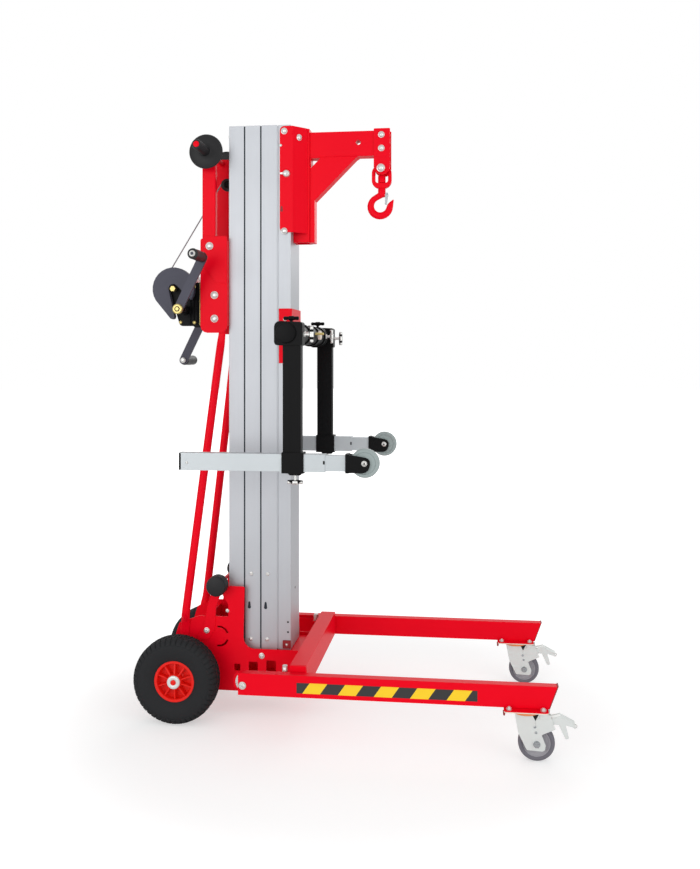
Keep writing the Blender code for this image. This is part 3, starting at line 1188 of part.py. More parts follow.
def jib_bracket():
    inner = CARRIAGE_HALF_WIDTH + SEAT
    parts = []
    for _, side in SIDES:
        low, high = span(side, inner, inner + JIB_WALL)
        outline = rounded([
            (JIB_CHEEK_REAR_X, JIB_BOTTOM_Z, 14 * MM), (JIB_FOLD_X + 1 * MM, JIB_BOTTOM_Z, 0),
            (JIB_FOLD_X + 1 * MM, JIB_TOP_Z, 0), (JIB_CHEEK_REAR_X, JIB_TOP_Z, 14 * MM),
        ])
        parts.append(plate(outline, "Y", low, high))
        wing = [(JIB_FOLD_X, side * inner), (JIB_FOLD_X, side * (inner + JIB_WALL)),
                (JIB_POST_FRONT_X - 6 * MM, side * (JIB_POST_HALF + JIB_WALL)),
                (JIB_POST_FRONT_X - 6 * MM, side * (JIB_POST_HALF - 1 * MM))]
        parts.append(plate(wing, "Z", JIB_BOTTOM_Z, JIB_TOP_Z))
    post = bar_of_box(CARRIAGE_FRONT_X + SEAT, JIB_POST_FRONT_X, -JIB_POST_HALF, JIB_POST_HALF,
                      JIB_POST_BOTTOM_Z, JIB_TOP_Z, JIB_WALL, "Z")
    piece("jib_bracket", join(post, *parts), "red_paint")


def jib_boom():
    """Boom with its gusset, window and eye hole, and the two plates that hang the bail's pin."""
    rear = JIB_POST_FRONT_X + SEAT
    low_front = rear + BOOM_ROOT_DEPTH
    gusset_front = JIB_POST_FRONT_X + GUSSET_REACH
    outline = [
        (rear, JIB_POST_BOTTOM_Z), (low_front, JIB_POST_BOTTOM_Z), (low_front, BOOM_BOTTOM_Z - GUSSET_DROP),
        (gusset_front, BOOM_BOTTOM_Z - GUSSET_CHAMFER[1]), (gusset_front + GUSSET_CHAMFER[0], BOOM_BOTTOM_Z),
        (BOOM_FRONT_X, BOOM_BOTTOM_Z), (BOOM_FRONT_X, BOOM_TOP_Z), (rear, BOOM_TOP_Z),
    ]
    window_x, window_z = rear + GUSSET_RIM[0], BOOM_BOTTOM_Z - GUSSET_RIM[1]
    window = [(window_x, window_z - GUSSET_WINDOW[1]), (window_x, window_z),
              (window_x + GUSSET_WINDOW[0], window_z)]
    boom = plate(outline, "Y", -BOOM_HALF, BOOM_HALF, [window, circle(BOOM_HOLE, BOOM_HOLE_RADIUS, 12)])
    plates = []
    for _, side in SIDES:
        low, high = span(side, BOOM_HALF - WELD, BOOM_HALF + HANGER_WALL)
        corner = (HANGER_FRONT_X - HANGER_REAR_X) / 2 - 1 * MM
        shape = rounded([
            (HANGER_REAR_X, HANGER_BOTTOM_Z, corner), (HANGER_FRONT_X, HANGER_BOTTOM_Z, corner),
            (HANGER_FRONT_X, BOOM_TOP_Z + HANGER_RISE, 3 * MM),
            (HANGER_REAR_X, BOOM_TOP_Z + HANGER_RISE, 3 * MM),
        ])
        plates.append(plate(shape, "Y", low, high))
    outer = BOOM_HALF + HANGER_WALL - WELD
    head, depth = BAIL_PIN_HEAD
    profile = [(0, -outer - depth), (head - 3 * MM, -outer - depth), (head, -outer - 3 * MM), (head, -outer),
               (BAIL_PIN_RADIUS, -outer), (BAIL_PIN_RADIUS, outer), (head, outer), (head, outer + depth),
               (0, outer + depth)]
    piece("jib_boom", join(boom, *plates, turned(profile, axle(BAIL_PIN), "Y", 16)), "red_paint")


def hook_bail():
    top = BAIL_PIN[1] + BAIL_PIN_RADIUS + SEAT + BAIL_RIM - 2 * MM
    x = BAIL_PIN[0]
    wide = BAIL_HALF_WIDTH
    outer = rounded([(x - wide, BAIL_BOTTOM_Z, 14 * MM), (x + wide, BAIL_BOTTOM_Z, 14 * MM),
                     (x + wide, top, 28 * MM), (x - wide, top, 28 * MM)], 5)
    inner_top = BAIL_PIN[1] + BAIL_PIN_RADIUS + SEAT
    narrow = wide - BAIL_RIM
    inner = rounded([(x - narrow, BAIL_BOTTOM_Z + 18 * MM, 4 * MM),
                     (x + narrow, BAIL_BOTTOM_Z + 18 * MM, 4 * MM),
                     (x + narrow, inner_top, 17 * MM), (x - narrow, inner_top, 17 * MM)], 5)
    link = plate(outer, "Y", -BAIL_HALF_DEPTH, BAIL_HALF_DEPTH, [inner])
    bore = rod(axle((x, 0)), HOOK_STEM_RADIUS + RUNNING,
               BAIL_BOTTOM_Z - 2 * MM, BAIL_BOTTOM_Z + 20 * MM, "Z", 16)
    piece("hook_bail", cut(link, bore), "red_paint", axle(BAIL_PIN))


def hook():
    x = BAIL_PIN[0]
    collar_top = BAIL_BOTTOM_Z - SEAT
    stem_top = BAIL_BOTTOM_Z + 18 * MM
    stem = turned([
        (0, collar_top - 24 * MM), (11 * MM, collar_top - 24 * MM), (12 * MM, collar_top),
        (HOOK_STEM_RADIUS, collar_top),
        (HOOK_STEM_RADIUS, stem_top + SEAT), (12 * MM, stem_top + SEAT), (12 * MM, stem_top + 10 * MM),
        (0, stem_top + 10 * MM),
    ], axle((x, 0)), "Z", 16)
    angles = (88, 118, 148, 178, 208, 238, 268, 298, 325, 348)
    halves = (10.5, 9.5, 9.5, 10.5, 12.0, 13.5, 13.5, 11.5, 8.5, 5.0)
    depths = (10.0, 9.0, 8.5, 8.5, 9.0, 9.5, 9.5, 8.5, 7.0, 4.5)
    points = [axle((x - 1 * MM, collar_top - 18 * MM))]
    sections = [(10 * MM, 10 * MM)]
    for angle, half, depth in zip(angles[1:], halves[1:], depths[1:]):
        turn = math.radians(angle)
        reach = HOOK_BOWL_RADIUS + 2 * MM
        points.append(axle((HOOK_BOWL[0] + reach * math.cos(turn), HOOK_BOWL[1] + reach * math.sin(turn))))
        sections.append((half * MM, depth * MM))
    points.append(axle((HOOK_BOWL[0] + HOOK_BOWL_RADIUS + 7 * MM, HOOK_BOWL[1] + 14 * MM)))
    sections.append((3 * MM, 3 * MM))
    bowl = sweep(points, sections, 8)
    piece("hook", join(stem, bowl), "red_paint", axle((x, BAIL_BOTTOM_Z)))
    latch = arc(LATCH_PIVOT, LATCH_EYE_RADIUS, -20, 200, 7) + [
        (HOOK_BOWL[0] + HOOK_BOWL_RADIUS - 1 * MM, HOOK_BOWL[1] + 8.5 * MM),
        (HOOK_BOWL[0] + HOOK_BOWL_RADIUS + 1.8 * MM, HOOK_BOWL[1] + 13 * MM),
    ]
    piece("hook_latch", plate(latch, "Y", -4 * MM, 4 * MM), "zinc", axle(LATCH_PIVOT))


def roller_clip():
    """A bent plate round the carriage's front that carries the cross bar."""
    front = CARRIAGE_FRONT_X + SEAT
    inner = CARRIAGE_HALF_WIDTH + SEAT
    outline = [
        (CLIP_REAR_X, -inner), (front, -inner), (front, inner), (CLIP_REAR_X, inner),
        (CLIP_REAR_X, inner + CLIP_WALL),
        (front + CLIP_WALL, inner + CLIP_WALL), (front + CLIP_WALL, -inner - CLIP_WALL),
        (CLIP_REAR_X, -inner - CLIP_WALL),
    ]
    piece("roller_clip", plate(outline, "Z", CLIP_BOTTOM_Z, CLIP_TOP_Z), "red_paint")
    bar = rod(axle((BAR_X, BAR_Z)), BAR_RADIUS, -BAR_HALF_LENGTH, BAR_HALF_LENGTH, steps=16)
    knobs = [t_knob(axle((BAR_X, BAR_Z + BAR_RADIUS - 2 * MM), side * (POST_Y - BAR_KNOB_INSET)), "Z", 1,
                    18 * MM)
             for _, side in SIDES]
    piece("cross_bar", join(bar, *knobs), "black_paint")


def post(name, side):
    """Clamp on the cross bar, upright and sleeve, welded into one."""
    low, high = span(side, POST_Y - POST_WIDTH / 2, POST_Y + POST_WIDTH / 2)
    sleeve_half = ARM_WIDTH / 2 + ARM_PLAY + SLEEVE_WALL
    sleeve_low = ARM_BOTTOM_Z - ARM_PLAY - SLEEVE_WALL
    sleeve_high = ARM_BOTTOM_Z + ARM_HEIGHT + ARM_PLAY + SLEEVE_WALL
    sleeve = bar_of_box(*SLEEVE_X, side * POST_Y - sleeve_half, side * POST_Y + sleeve_half, sleeve_low,
                        sleeve_high,
                        SLEEVE_WALL, "X")
    upright = box((AXLE_X + POST_REAR_X, low, sleeve_high - WELD),
                  (AXLE_X + POST_REAR_X + POST_DEPTH, high, BAR_Z - CLAMP_HALF_HEIGHT + WELD))
    heel = BAR_X - BAR_RADIUS - CLAMP_HEEL
    clamp_low, clamp_high = BAR_Z - CLAMP_HALF_HEIGHT, BAR_Z + CLAMP_HALF_HEIGHT
    clamp = plate(rounded([
        (heel, clamp_low, 10 * MM), (CLAMP_FRONT_X, clamp_low, 4 * MM),
        (CLAMP_FRONT_X, clamp_high - 4 * MM, 6 * MM),
        (heel, clamp_high, 16 * MM),
    ]), "Y", low - 3 * MM, high + 3 * MM, [circle((BAR_X, BAR_Z), BAR_RADIUS + SEAT, 16)])
    knobs = [t_knob(axle((SLEEVE_X[1] - SLEEVE_KNOB_SETBACK, sleeve_low + WELD), side * POST_Y), "Z", -1,
                    27 * MM),
             t_knob(axle((CLAMP_FRONT_X - WELD, BAR_Z - 4 * MM), side * POST_Y), "X", 1, 24 * MM)]
    piece("post_" + name, join(upright, sleeve, clamp, *knobs), "black_paint")


def t_knob(place, axis, way, reach):
    """A clamping screw with a cross handle, its root sunk in the piece that it is screwed in."""
    profile = [(0, 0), (7 * MM, 0), (7 * MM, 5 * MM), (KNOB_SCREW_RADIUS, 5 * MM), (KNOB_SCREW_RADIUS, reach),
               (0, reach)]
    screw = turned(profile, place, axis, 8, way)
    middle = Vector(place) + {"X": Vector((1, 0, 0)), "Z": Vector((0, 0, 1))}[axis] * way * reach
    cross = "X" if axis == "Z" else "Z"
    handle = turned([(0, -KNOB_BAR_HALF), (5 * MM, -KNOB_BAR_HALF), (6.5 * MM, -6 * MM), (6.5 * MM, 6 * MM),
                     (5 * MM, KNOB_BAR_HALF), (0, KNOB_BAR_HALF)], middle, cross, 8)
    return join(screw, handle)


def roller_arm(name, side):
    """The outer tube with its closed rear end, and the smaller tube that carries the roller's fork."""
    middle = side * POST_Y
    half = ARM_WIDTH / 2
    top = ARM_BOTTOM_Z + ARM_HEIGHT
    origin = axle((ARM_REAR_X, ARM_MID_Z), middle)
    outer = bar_of_box(ARM_REAR_X, ARM_FRONT_X, middle - half, middle + half, ARM_BOTTOM_Z, top, ARM_WALL,
                       "X")
    inset = ARM_WALL - INNER_ARM_PLAY
    inner = bar_of_box(*INNER_ARM, middle - half + inset, middle + half - inset, ARM_BOTTOM_Z + inset,
                       top - inset,
                       ARM_WALL, "X")
    cap = box(axle((ARM_REAR_X + WELD, ARM_BOTTOM_Z + inset), middle - half + inset),
              axle((ARM_REAR_X + 5 * MM, top - inset), middle + half - inset))
    piece("arm_" + name, join(outer, inner, cap), "aluminium", origin)
    roller_fork(name, side, origin)


def roller_fork(name, side, origin):
    middle = side * POST_Y
    half = ROLLER_WIDTH / 2 + 2 * MM
    wall = ROLLER_FORK_WALL
    x0, x1 = ROLLER_FORK_X
    low = ARM_BOTTOM_Z - 2 * MM
    top = ARM_BOTTOM_Z + ARM_HEIGHT + 2 * MM
    reach = ROLLER_FORK_BACK_X
    gap = ARM_WALL - INNER_ARM_PLAY - SEAT
    cheek = rounded([
        (x0 + 4 * MM, low + WELD, 0), (x1 - 4 * MM, low + WELD, 20 * MM),
        (x1 + 4 * MM, ROLLER_Z + 14 * MM, 16 * MM),
        (x0 + 4 * MM, top - WELD, 0),
    ])
    cheeks = [plate(cheek, "Y", *sorted((middle + s * half, middle + s * (half + wall)))) for s in (-1, 1)]
    back = box(axle((x0, low), middle - half - wall - WELD), axle((reach, top), middle + half + wall + WELD))
    pocket = box(axle((x0 - WELD, ARM_BOTTOM_Z + gap), middle - ARM_WIDTH / 2 + gap),
                 axle((INNER_ARM[1] + SEAT, ARM_BOTTOM_Z + ARM_HEIGHT - gap), middle + ARM_WIDTH / 2 - gap))
    pin_half = half + wall + 4 * MM
    pin = rod(axle((ROLLER_X, ROLLER_Z), middle), ROLLER_AXLE_RADIUS, -pin_half, pin_half, steps=12)
    piece("roller_fork_" + name, join(cut(back, pocket), *cheeks, pin), "black_paint", origin)
    arm_roller(name, middle)


def arm_roller(name, middle):
    centre = axle((ROLLER_X, ROLLER_Z), middle)
    wide = ROLLER_WIDTH / 2
    half = [(ROLLER_AXLE_RADIUS + RUNNING, -wide), (16 * MM, -wide), (18 * MM, -wide * 0.7),
            (ROLLER_RADIUS - 10 * MM, -wide * 0.7), (ROLLER_RADIUS - 4 * MM, -wide),
            (ROLLER_RADIUS, -wide * 0.4)]
    profile = half + [(radius, -along) for radius, along in reversed(half)]
    piece("arm_roller_" + name, turned(profile, centre, "Y", 16), "pale_rubber", centre)


def main():
    clear_scene()
    chassis()
    rear_axle()
    cross_beam()
    mast_sections()
    winch_bracket()
    handle_frame()
    winch_frame()
    winch_cover()
    winch_drum()
    crank()
    pulley_block()
    lift_cable()
    jib_bracket()
    jib_boom()
    hook_bail()
    hook()
    roller_clip()
    for name, side in SIDES:
        rear_wheel(name, side)
        loading_roller(name, side)
        leg_pivot(name, side)
        lock_pin(name, side)
        leg(name, side)
        caster(name, side)
        stay(name, side)
        handle_grip(name, side)
        crank_grip(name, side)
        post(name, side)
        roller_arm(name, side)


main()
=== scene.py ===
"""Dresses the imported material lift: finishes, fasteners, tread, tape and studio, in the part's own frame."""

import logging
import math
from dataclasses import dataclass, field
from enum import Enum
from typing import Callable, Iterable, Mapping, Sequence

import bmesh
import bpy
from mathutils import Matrix, Vector


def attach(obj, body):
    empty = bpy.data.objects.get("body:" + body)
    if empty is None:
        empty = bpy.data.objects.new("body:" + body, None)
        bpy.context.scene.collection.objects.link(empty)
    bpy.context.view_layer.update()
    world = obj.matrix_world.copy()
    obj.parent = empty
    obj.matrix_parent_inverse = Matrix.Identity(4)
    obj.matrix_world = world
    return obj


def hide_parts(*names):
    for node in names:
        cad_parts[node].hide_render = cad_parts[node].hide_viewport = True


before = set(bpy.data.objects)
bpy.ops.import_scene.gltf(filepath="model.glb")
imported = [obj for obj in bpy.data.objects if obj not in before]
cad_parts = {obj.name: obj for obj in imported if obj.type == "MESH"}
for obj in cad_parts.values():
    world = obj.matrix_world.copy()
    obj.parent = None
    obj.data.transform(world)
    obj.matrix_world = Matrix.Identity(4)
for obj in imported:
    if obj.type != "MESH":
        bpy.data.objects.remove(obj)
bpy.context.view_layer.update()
LOG = logging.getLogger("material_lift")
MM = 0.001
AXLE_X = -518.0
SIDES = (("near", -1), ("far", 1))
REAR = Vector((-1, 0, 0))
UP = Vector((0, 0, 1))
CLOSE_M = 1e-6
FLAT_DEGREES = 0.5
BEVEL_DEGREES = 35.0
COPY_SHARP_DEGREES = 30.0
PROUD_MM = 0.25
Outline = list[tuple[float, float]]
Solid = bmesh.types.BMesh
Piece = bpy.types.Object
Tree = bpy.types.NodeTree
Node = bpy.types.Node


class Axis(Enum):
    """Direction that a turned or extruded piece runs along."""

    X = (1.0, 0.0, 0.0)
    Y = (0.0, 1.0, 0.0)
    Z = (0.0, 0.0, 1.0)


def at(x: float, y: float, z: float) -> Vector:
    """Place in metres of a point given in millimetres, with x counted from the rear axle."""
    return Vector(((AXLE_X + x) * MM, y * MM, z * MM))


def linear(hex_code: str) -> tuple[float, float, float, float]:
    """Turn an sRGB hex colour to linear values.

    Args:
        hex_code: Six hexadecimal digits.

    Returns:
        Red, green, blue and an alpha of one.
    """
    channels = [int(hex_code[i:i + 2], 16) / 255 for i in (0, 2, 4)]
    bent = [c / 12.92 if c <= 0.04045 else ((c + 0.055) / 1.055) ** 2.4 for c in channels]
    return (bent[0], bent[1], bent[2], 1.0)


def add(tree: Tree, kind: str, settings: Mapping[str, object] | None = None,
        inputs: Mapping[object, object] | None = None) -> Node:
    """Add a node with its settings, socket values and links.

    Args:
        tree: The node tree that gets the node.
        kind: The node's type.
        settings: Attributes of the node.
        inputs: Socket name or number to a value, or to the output socket that feeds it.

    Returns:
        The new node.
    """
    node = tree.nodes.new(kind)
    for name, value in (settings or {}).items():
        setattr(node, name, value)
    for key, value in (inputs or {}).items():
        if isinstance(value, bpy.types.NodeSocket):
            tree.links.new(value, node.inputs[key])
        else:
            node.inputs[key].default_value = value
    return node


@dataclass(frozen=True)
class Finish:
    """A surface, named for its material.

    Attributes:
        name: Name of the material.
        colour: sRGB hex value.
        roughness: Roughness of the surface.
        metallic: One on bare metal, zero on paint, plastic and rubber.
        grain_mm: Size of the surface's unevenness.
        depth_mm: Height of that unevenness.
        stretch: How much longer the grain is along X, Y and Z.
        variation: How far roughness and colour wander.
        specular: Strength of the reflection of paint, plastic or rubber.
        cloud: Scale of the slow wander of the colour.
        relief: Share of the unevenness that the light shows.
    """

    name: str
    colour: str
    roughness: float
    metallic: float = 0.0
    grain_mm: float = 2.0
    depth_mm: float = 0.05
    stretch: tuple[float, float, float] = (1.0, 1.0, 1.0)
    variation: float = 0.06
    specular: float = 0.5
    cloud: float = 9.0
    relief: float = 0.6

    def material(self) -> bpy.types.Material:
        """Build the material at its first use.

        Returns:
            The material, the same one at every call.
        """
        found = bpy.data.materials.get(self.name)
        if found:
            return found
        made = bpy.data.materials.new(self.name)
        made.use_nodes = True
        tree = made.node_tree
        shader = tree.nodes["Principled BSDF"]
        shader.inputs["Metallic"].default_value = self.metallic
        shader.inputs["Specular IOR Level"].default_value = self.specular
        self.dress(tree, shader)
        return made

    def dress(self, tree: Tree, shader: Node) -> None:
        """Give the shader its colour, roughness and relief.

        Args:
            tree: The material's nodes.
            shader: Its Principled shader.
        """
        place = add(tree, "ShaderNodeTexCoord")
        size = tuple(1000.0 / self.grain_mm / s for s in self.stretch)
        scaled = add(tree, "ShaderNodeMapping", {}, {"Vector": place.outputs["Object"], "Scale": size})
        grain = add(tree, "ShaderNodeTexNoise", {},
                    {"Vector": scaled.outputs[0], "Scale": 1.0, "Detail": 3.0})
        cloud = add(tree, "ShaderNodeTexNoise", {},
                    {"Vector": place.outputs["Object"], "Scale": self.cloud, "Detail": 4.0})
        spread = add(tree, "ShaderNodeMapRange", {}, {
            0: grain.outputs[0], 1: 0.3, 2: 0.7, 3: self.roughness - self.variation,
            4: self.roughness + self.variation})
        tree.links.new(spread.outputs[0], shader.inputs["Roughness"])
        colour = linear(self.colour)
        darker = tuple(c * (1.0 - self.variation * 1.5) for c in colour[:3]) + (1.0,)
        blend = add(tree, "ShaderNodeMix", {"data_type": "RGBA"}, {
            0: cloud.outputs[0], 6: self.painted(tree, place, colour), 7: self.painted(tree, place, darker)})
        tree.links.new(blend.outputs[2], shader.inputs["Base Color"])
        relief = add(tree, "ShaderNodeBump", {}, {
            "Height": grain.outputs[0], "Distance": self.depth_mm * MM, "Strength": self.relief})
        tree.links.new(relief.outputs[0], shader.inputs["Normal"])

    def painted(self, tree: Tree, place: Node,
                colour: tuple[float, ...]) -> object:
        """Return the colour that shows, here the same all over."""
        return colour


@dataclass(frozen=True)
class HazardTape(Finish):
    """Vinyl tape with slanted stripes; dark is the second colour."""

    dark: str = "2B2B2B"
    pitch_mm: float = 101.1
    start_mm: float = 0.0
    lean: float = 0.7

    def painted(self, tree: Tree, place: Node,
                colour: tuple[float, ...]) -> object:
        """Draw stripes that lean forwards as they rise.

        Args:
            tree: The material's nodes.
            place: The node that gives the place on the piece.
            colour: The finish's colour in linear values.

        Returns:
            A colour, or the socket that gives it.
        """
        split = add(tree, "ShaderNodeSeparateXYZ", {}, {0: place.outputs["Object"]})
        lean = add(tree, "ShaderNodeMath", {"operation": "MULTIPLY"}, {0: split.outputs[2], 1: -self.lean})
        along = add(tree, "ShaderNodeMath", {"operation": "ADD"}, {0: split.outputs[0], 1: lean.outputs[0]})
        shifted = add(tree, "ShaderNodeMath", {"operation": "SUBTRACT"},
                      {0: along.outputs[0], 1: self.start_mm * MM})
        turn = add(tree, "ShaderNodeMath", {"operation": "DIVIDE"},
                   {0: shifted.outputs[0], 1: self.pitch_mm * MM})
        part = add(tree, "ShaderNodeMath", {"operation": "FRACT"}, {0: turn.outputs[0]})
        half = add(tree, "ShaderNodeMath", {"operation": "GREATER_THAN"}, {0: part.outputs[0], 1: 0.5})
        mixed = add(tree, "ShaderNodeMix", {"data_type": "RGBA"},
                    {0: half.outputs[0], 6: linear(self.dark), 7: colour})
        return mixed.outputs[2]


@dataclass(frozen=True)
class WireRope(Finish):
    """Galvanised rope; shadow is the colour between its strands, which slant along the rope's own UV map."""

    shadow: str = "6A6C70"

    def dress(self, tree: Tree, shader: Node) -> None:
        """Give the rope its slanted strands from the UV map, counted along the rope.

        Args:
            tree: The material's nodes.
            shader: Its Principled shader.
        """
        place = add(tree, "ShaderNodeUVMap", {"uv_map": "rope"})
        wave = add(tree, "ShaderNodeTexWave", {"wave_type": "BANDS", "bands_direction": "DIAGONAL"}, {
            "Vector": place.outputs[0], "Scale": 1.0, "Distortion": 0.0})
        ramp = add(tree, "ShaderNodeMix", {"data_type": "RGBA"}, {
            0: wave.outputs[1], 6: linear(self.shadow), 7: linear(self.colour)})
        tree.links.new(ramp.outputs[2], shader.inputs["Base Color"])
        relief = add(tree, "ShaderNodeBump", {},
                     {"Height": wave.outputs[1], "Distance": 0.4 * MM, "Strength": 0.8})
        tree.links.new(relief.outputs[0], shader.inputs["Normal"])
        shader.inputs["Roughness"].default_value = self.roughness


# Powder coat on steel: an even gloss over a faint orange peel, drawn at 3 mm so that it shows.
RED = Finish("powder_coated_steel_red", "F20420", 0.34, grain_mm=3.0, depth_mm=0.05, variation=0.04,
             specular=0.07)
BLACK = Finish("powder_coated_steel_black", "101011", 0.42, grain_mm=2.5, depth_mm=0.06, specular=0.09)
SLATE = Finish("painted_steel_slate", "4A4A57", 0.5, grain_mm=2.5, depth_mm=0.05, specular=0.3)
# The same red where little light gets in: it keeps seams and openings readable without turning black.
RED_DEPTH = Finish("powder_coat_in_shade", "8E0A14", 0.5, grain_mm=3.0, depth_mm=0.05)
# Anodised extrusions: die lines run the whole length, 0.8 mm apart, and streak the reflections.
UPRIGHT = Finish("anodised_aluminium_upright", "BBBEC3", 0.44, 0.55, 0.8, 0.02, (1.0, 1.0, 400.0), 0.05)
LEVEL = Finish("anodised_aluminium_level", "BFC5C8", 0.44, 0.55, 0.8, 0.02, (400.0, 1.0, 1.0), 0.05)
# Bright zinc plate: a cool white with a faint green, slightly cloudy.
ZINC = Finish("zinc_plated_steel", "E6EAE8", 0.36, 0.45, 6.0, 0.02, variation=0.05)
# Zinc on small turned parts: smoother, so that each bolt head has one clear highlight.
BOLT = Finish("zinc_plated_fastener", "DEDEDB", 0.30, 0.7, 3.0, 0.02, variation=0.06)
# Turned steel without plate: greyer and darker than the zinc beside it.
STEEL = Finish("bright_turned_steel", "A9ADB0", 0.3, 0.7, 3.0, 0.02, variation=0.06)
# Chromate over zinc: the pale gold of the winch's nuts and edges, uneven from piece to piece.
YELLOW_ZINC = Finish("yellow_chromate_steel", "CDBB78", 0.34, 0.8, 3.0, 0.03, variation=0.08)
# Rubber: a matt grain breaks up the highlight, coarser on the tyre than on the grips.
TYRE = Finish("moulded_rubber_tyre", "252628", 0.7, grain_mm=3.0, depth_mm=0.12, variation=0.06, specular=0.2)
GRIP = Finish("moulded_rubber_grip", "1B1B1D", 0.5, grain_mm=2.0, depth_mm=0.12, variation=0.06, specular=0.3)
# Polypropylene coloured through: a softer, slightly orange red beside the powder coat.
RIM = Finish("moulded_polypropylene_rim", "F21E14", 0.42, grain_mm=3.0, depth_mm=0.05, variation=0.05,
             specular=0.25)
# Caster and roller plastics: a dull tread, a paler core, and a smooth grey-green roller.
CASTER_TREAD = Finish("grey_thermoplastic_rubber", "706E76", 0.6, grain_mm=3.0, depth_mm=0.05, specular=0.3)
CASTER_CORE = Finish("grey_polypropylene_core", "A5A3A9", 0.5, grain_mm=3.0, depth_mm=0.04, specular=0.3)
ROLLER = Finish("cast_polyurethane_roller", "9FABAA", 0.5, grain_mm=3.0, depth_mm=0.04, specular=0.3)
# Nylon with a fine moulded grain: black with a broad, soft sheen.
PLASTIC = Finish("grained_black_nylon", "232325", 0.45, grain_mm=1.5, depth_mm=0.06, specular=0.35)
# The caster's seal ring and plate: small spots of warm colour between red and zinc.
SEAL = Finish("orange_acetal_seal", "E98748", 0.5, grain_mm=2.0, depth_mm=0.03)
PLATE = Finish("cream_passivated_plate", "F1E6D6", 0.4, grain_mm=3.0, depth_mm=0.02)
# Painted shade for openings: close to black and without gloss, so that they read as depth.
HOLLOW = Finish("unlit_inside_of_tube", "0D0D0E", 0.9)
# The lighter painted shade fills the gaps between mast sections and their keyhole slots.
SHADE = Finish("painted_shade_gaps_and_slots", "30363D", 0.7, grain_mm=2.0, depth_mm=0.02, specular=0.2)
# Galvanised strands: light crowns, and painted shade in the grooves that slant round the rope.
ROPE = WireRope("galvanised_wire_rope", "B4B6BA", 0.4, 0.6)
# Vinyl: clean yellow and black stripes, smoother than the coat under them.
TAPE = HazardTape("hazard_vinyl_tape", "FFD414", 0.38, grain_mm=3.0, depth_mm=0.02, variation=0.03,
                  start_mm=-265.6)


def outward(bm: Solid) -> Solid:
    """Merge doubles and point every face out.

    Args:
        bm: The solid, which is changed.

    Returns:
        The same solid.
    """
    bmesh.ops.remove_doubles(bm, verts=bm.verts, dist=CLOSE_M)
    bmesh.ops.recalc_face_normals(bm, faces=bm.faces)
    return bm


def rounded(corners: Sequence[tuple[float, float, float]], count: int = 5) -> Outline:
    """Round the corners of an outline.

    Args:
        corners: Places with the radius of each corner, zero for a sharp one.
        count: Steps in a rounded corner.

    Returns:
        The outline's points in order.
    """
    points: Outline = []
    total = len(corners)
    for i, (u, v, radius) in enumerate(corners):
        here = Vector((u, v))
        if radius == 0:
            points.append((u, v))
            continue
        before = (Vector(corners[i - 1][:2]) - here).normalized()
        after = (Vector(corners[(i + 1) % total][:2]) - here).normalized()
        half = before.angle(after) / 2
        centre = here + (before + after).normalized() * (radius / math.sin(half))
        start = here + before * (radius / math.tan(half)) - centre
        stop = here + after * (radius / math.tan(half)) - centre
        swing = start.angle_signed(stop)
        for step in range(count + 1):
            spoke = start.copy()
            spoke.rotate(Matrix.Rotation(-swing * step / count, 2))
            points.append(tuple(centre + spoke))
    return points


def arc(u: float, v: float, radius: float, first: float, last: float, count: int) -> Outline:
    """Points on an arc in degrees, both ends included."""
    turns = [math.radians(first + (last - first) * i / (count - 1)) for i in range(count)]
    return [(u + radius * math.cos(a), v + radius * math.sin(a)) for a in turns]


def disc_outline(u: float, v: float, radius: float, count: int = 32) -> Outline:
    """A full circle as an outline."""
    return arc(u, v, radius, 0, 360 - 360 / count, count)


def rectangle(left: float, low: float, right: float, high: float, radius: float, count: int = 5) -> Outline:
    """A rectangle with rounded corners, between two opposite corners."""
    return rounded([(left, low, radius), (right, low, radius), (right, high, radius), (left, high, radius)],
                   count)


def keyhole(u: float, upper: float, lower: float, narrow: float, wide: float) -> Outline:
    """A keyhole slot: a narrow round end at the upper height and a wide one at the lower."""
    return arc(u, upper, narrow, 0, 180, 9) + arc(u, lower, wide, 150, 390, 15)


def mirrored(half: Outline) -> Outline:
    """Complete a section that is the same on both sides of its middle.

    Args:
        half: (radius, distance from the middle) pairs, from the end inwards.

    Returns:
        The whole section; a point in the middle itself is taken once.
    """
    back = half[:-1] if half[-1][1] == 0 else half
    return [(r, -a) for r, a in half] + [(r, a) for r, a in reversed(back)]


def prism(outline: Outline, axis: Axis, low: float, high: float,
          holes: Iterable[Outline] = ()) -> Solid:
    """Extrude an outline in millimetres.

    Args:
        outline: Points in (x, z) along Y, (x, y) along Z, or (y, z) along X.
        axis: Direction of the extrusion.
        low: Where it starts along the axis.
        high: Where it ends.
        holes: Outlines that are left open.

    Returns:
        The closed solid.
    """
    place: dict[Axis, Callable[[float, float, float], Vector]] = {
        Axis.X: lambda u, v, t: at(t, u, v), Axis.Y: lambda u, v, t: at(u, t, v), Axis.Z: lambda u, v,
        t: at(u, v, t)}
    bm = bmesh.new()
    edges = []
    for loop in (outline, *holes):
        ring = [bm.verts.new(place[axis](u, v, low)) for u, v in loop]
        edges += [bm.edges.new(pair) for pair in zip(ring, ring[1:] + ring[:1])]
    bmesh.ops.triangle_fill(bm, edges=edges, use_beauty=True)
    grown = bmesh.ops.extrude_face_region(bm, geom=list(bm.faces))
    top = [item for item in grown["geom"] if isinstance(item, bmesh.types.BMVert)]
    bmesh.ops.translate(bm, vec=place[axis](0, 0, high) - place[axis](0, 0, low), verts=top)
    bmesh.ops.dissolve_limit(bm, angle_limit=math.radians(FLAT_DEGREES), verts=bm.verts, edges=bm.edges)
    return outward(bm)


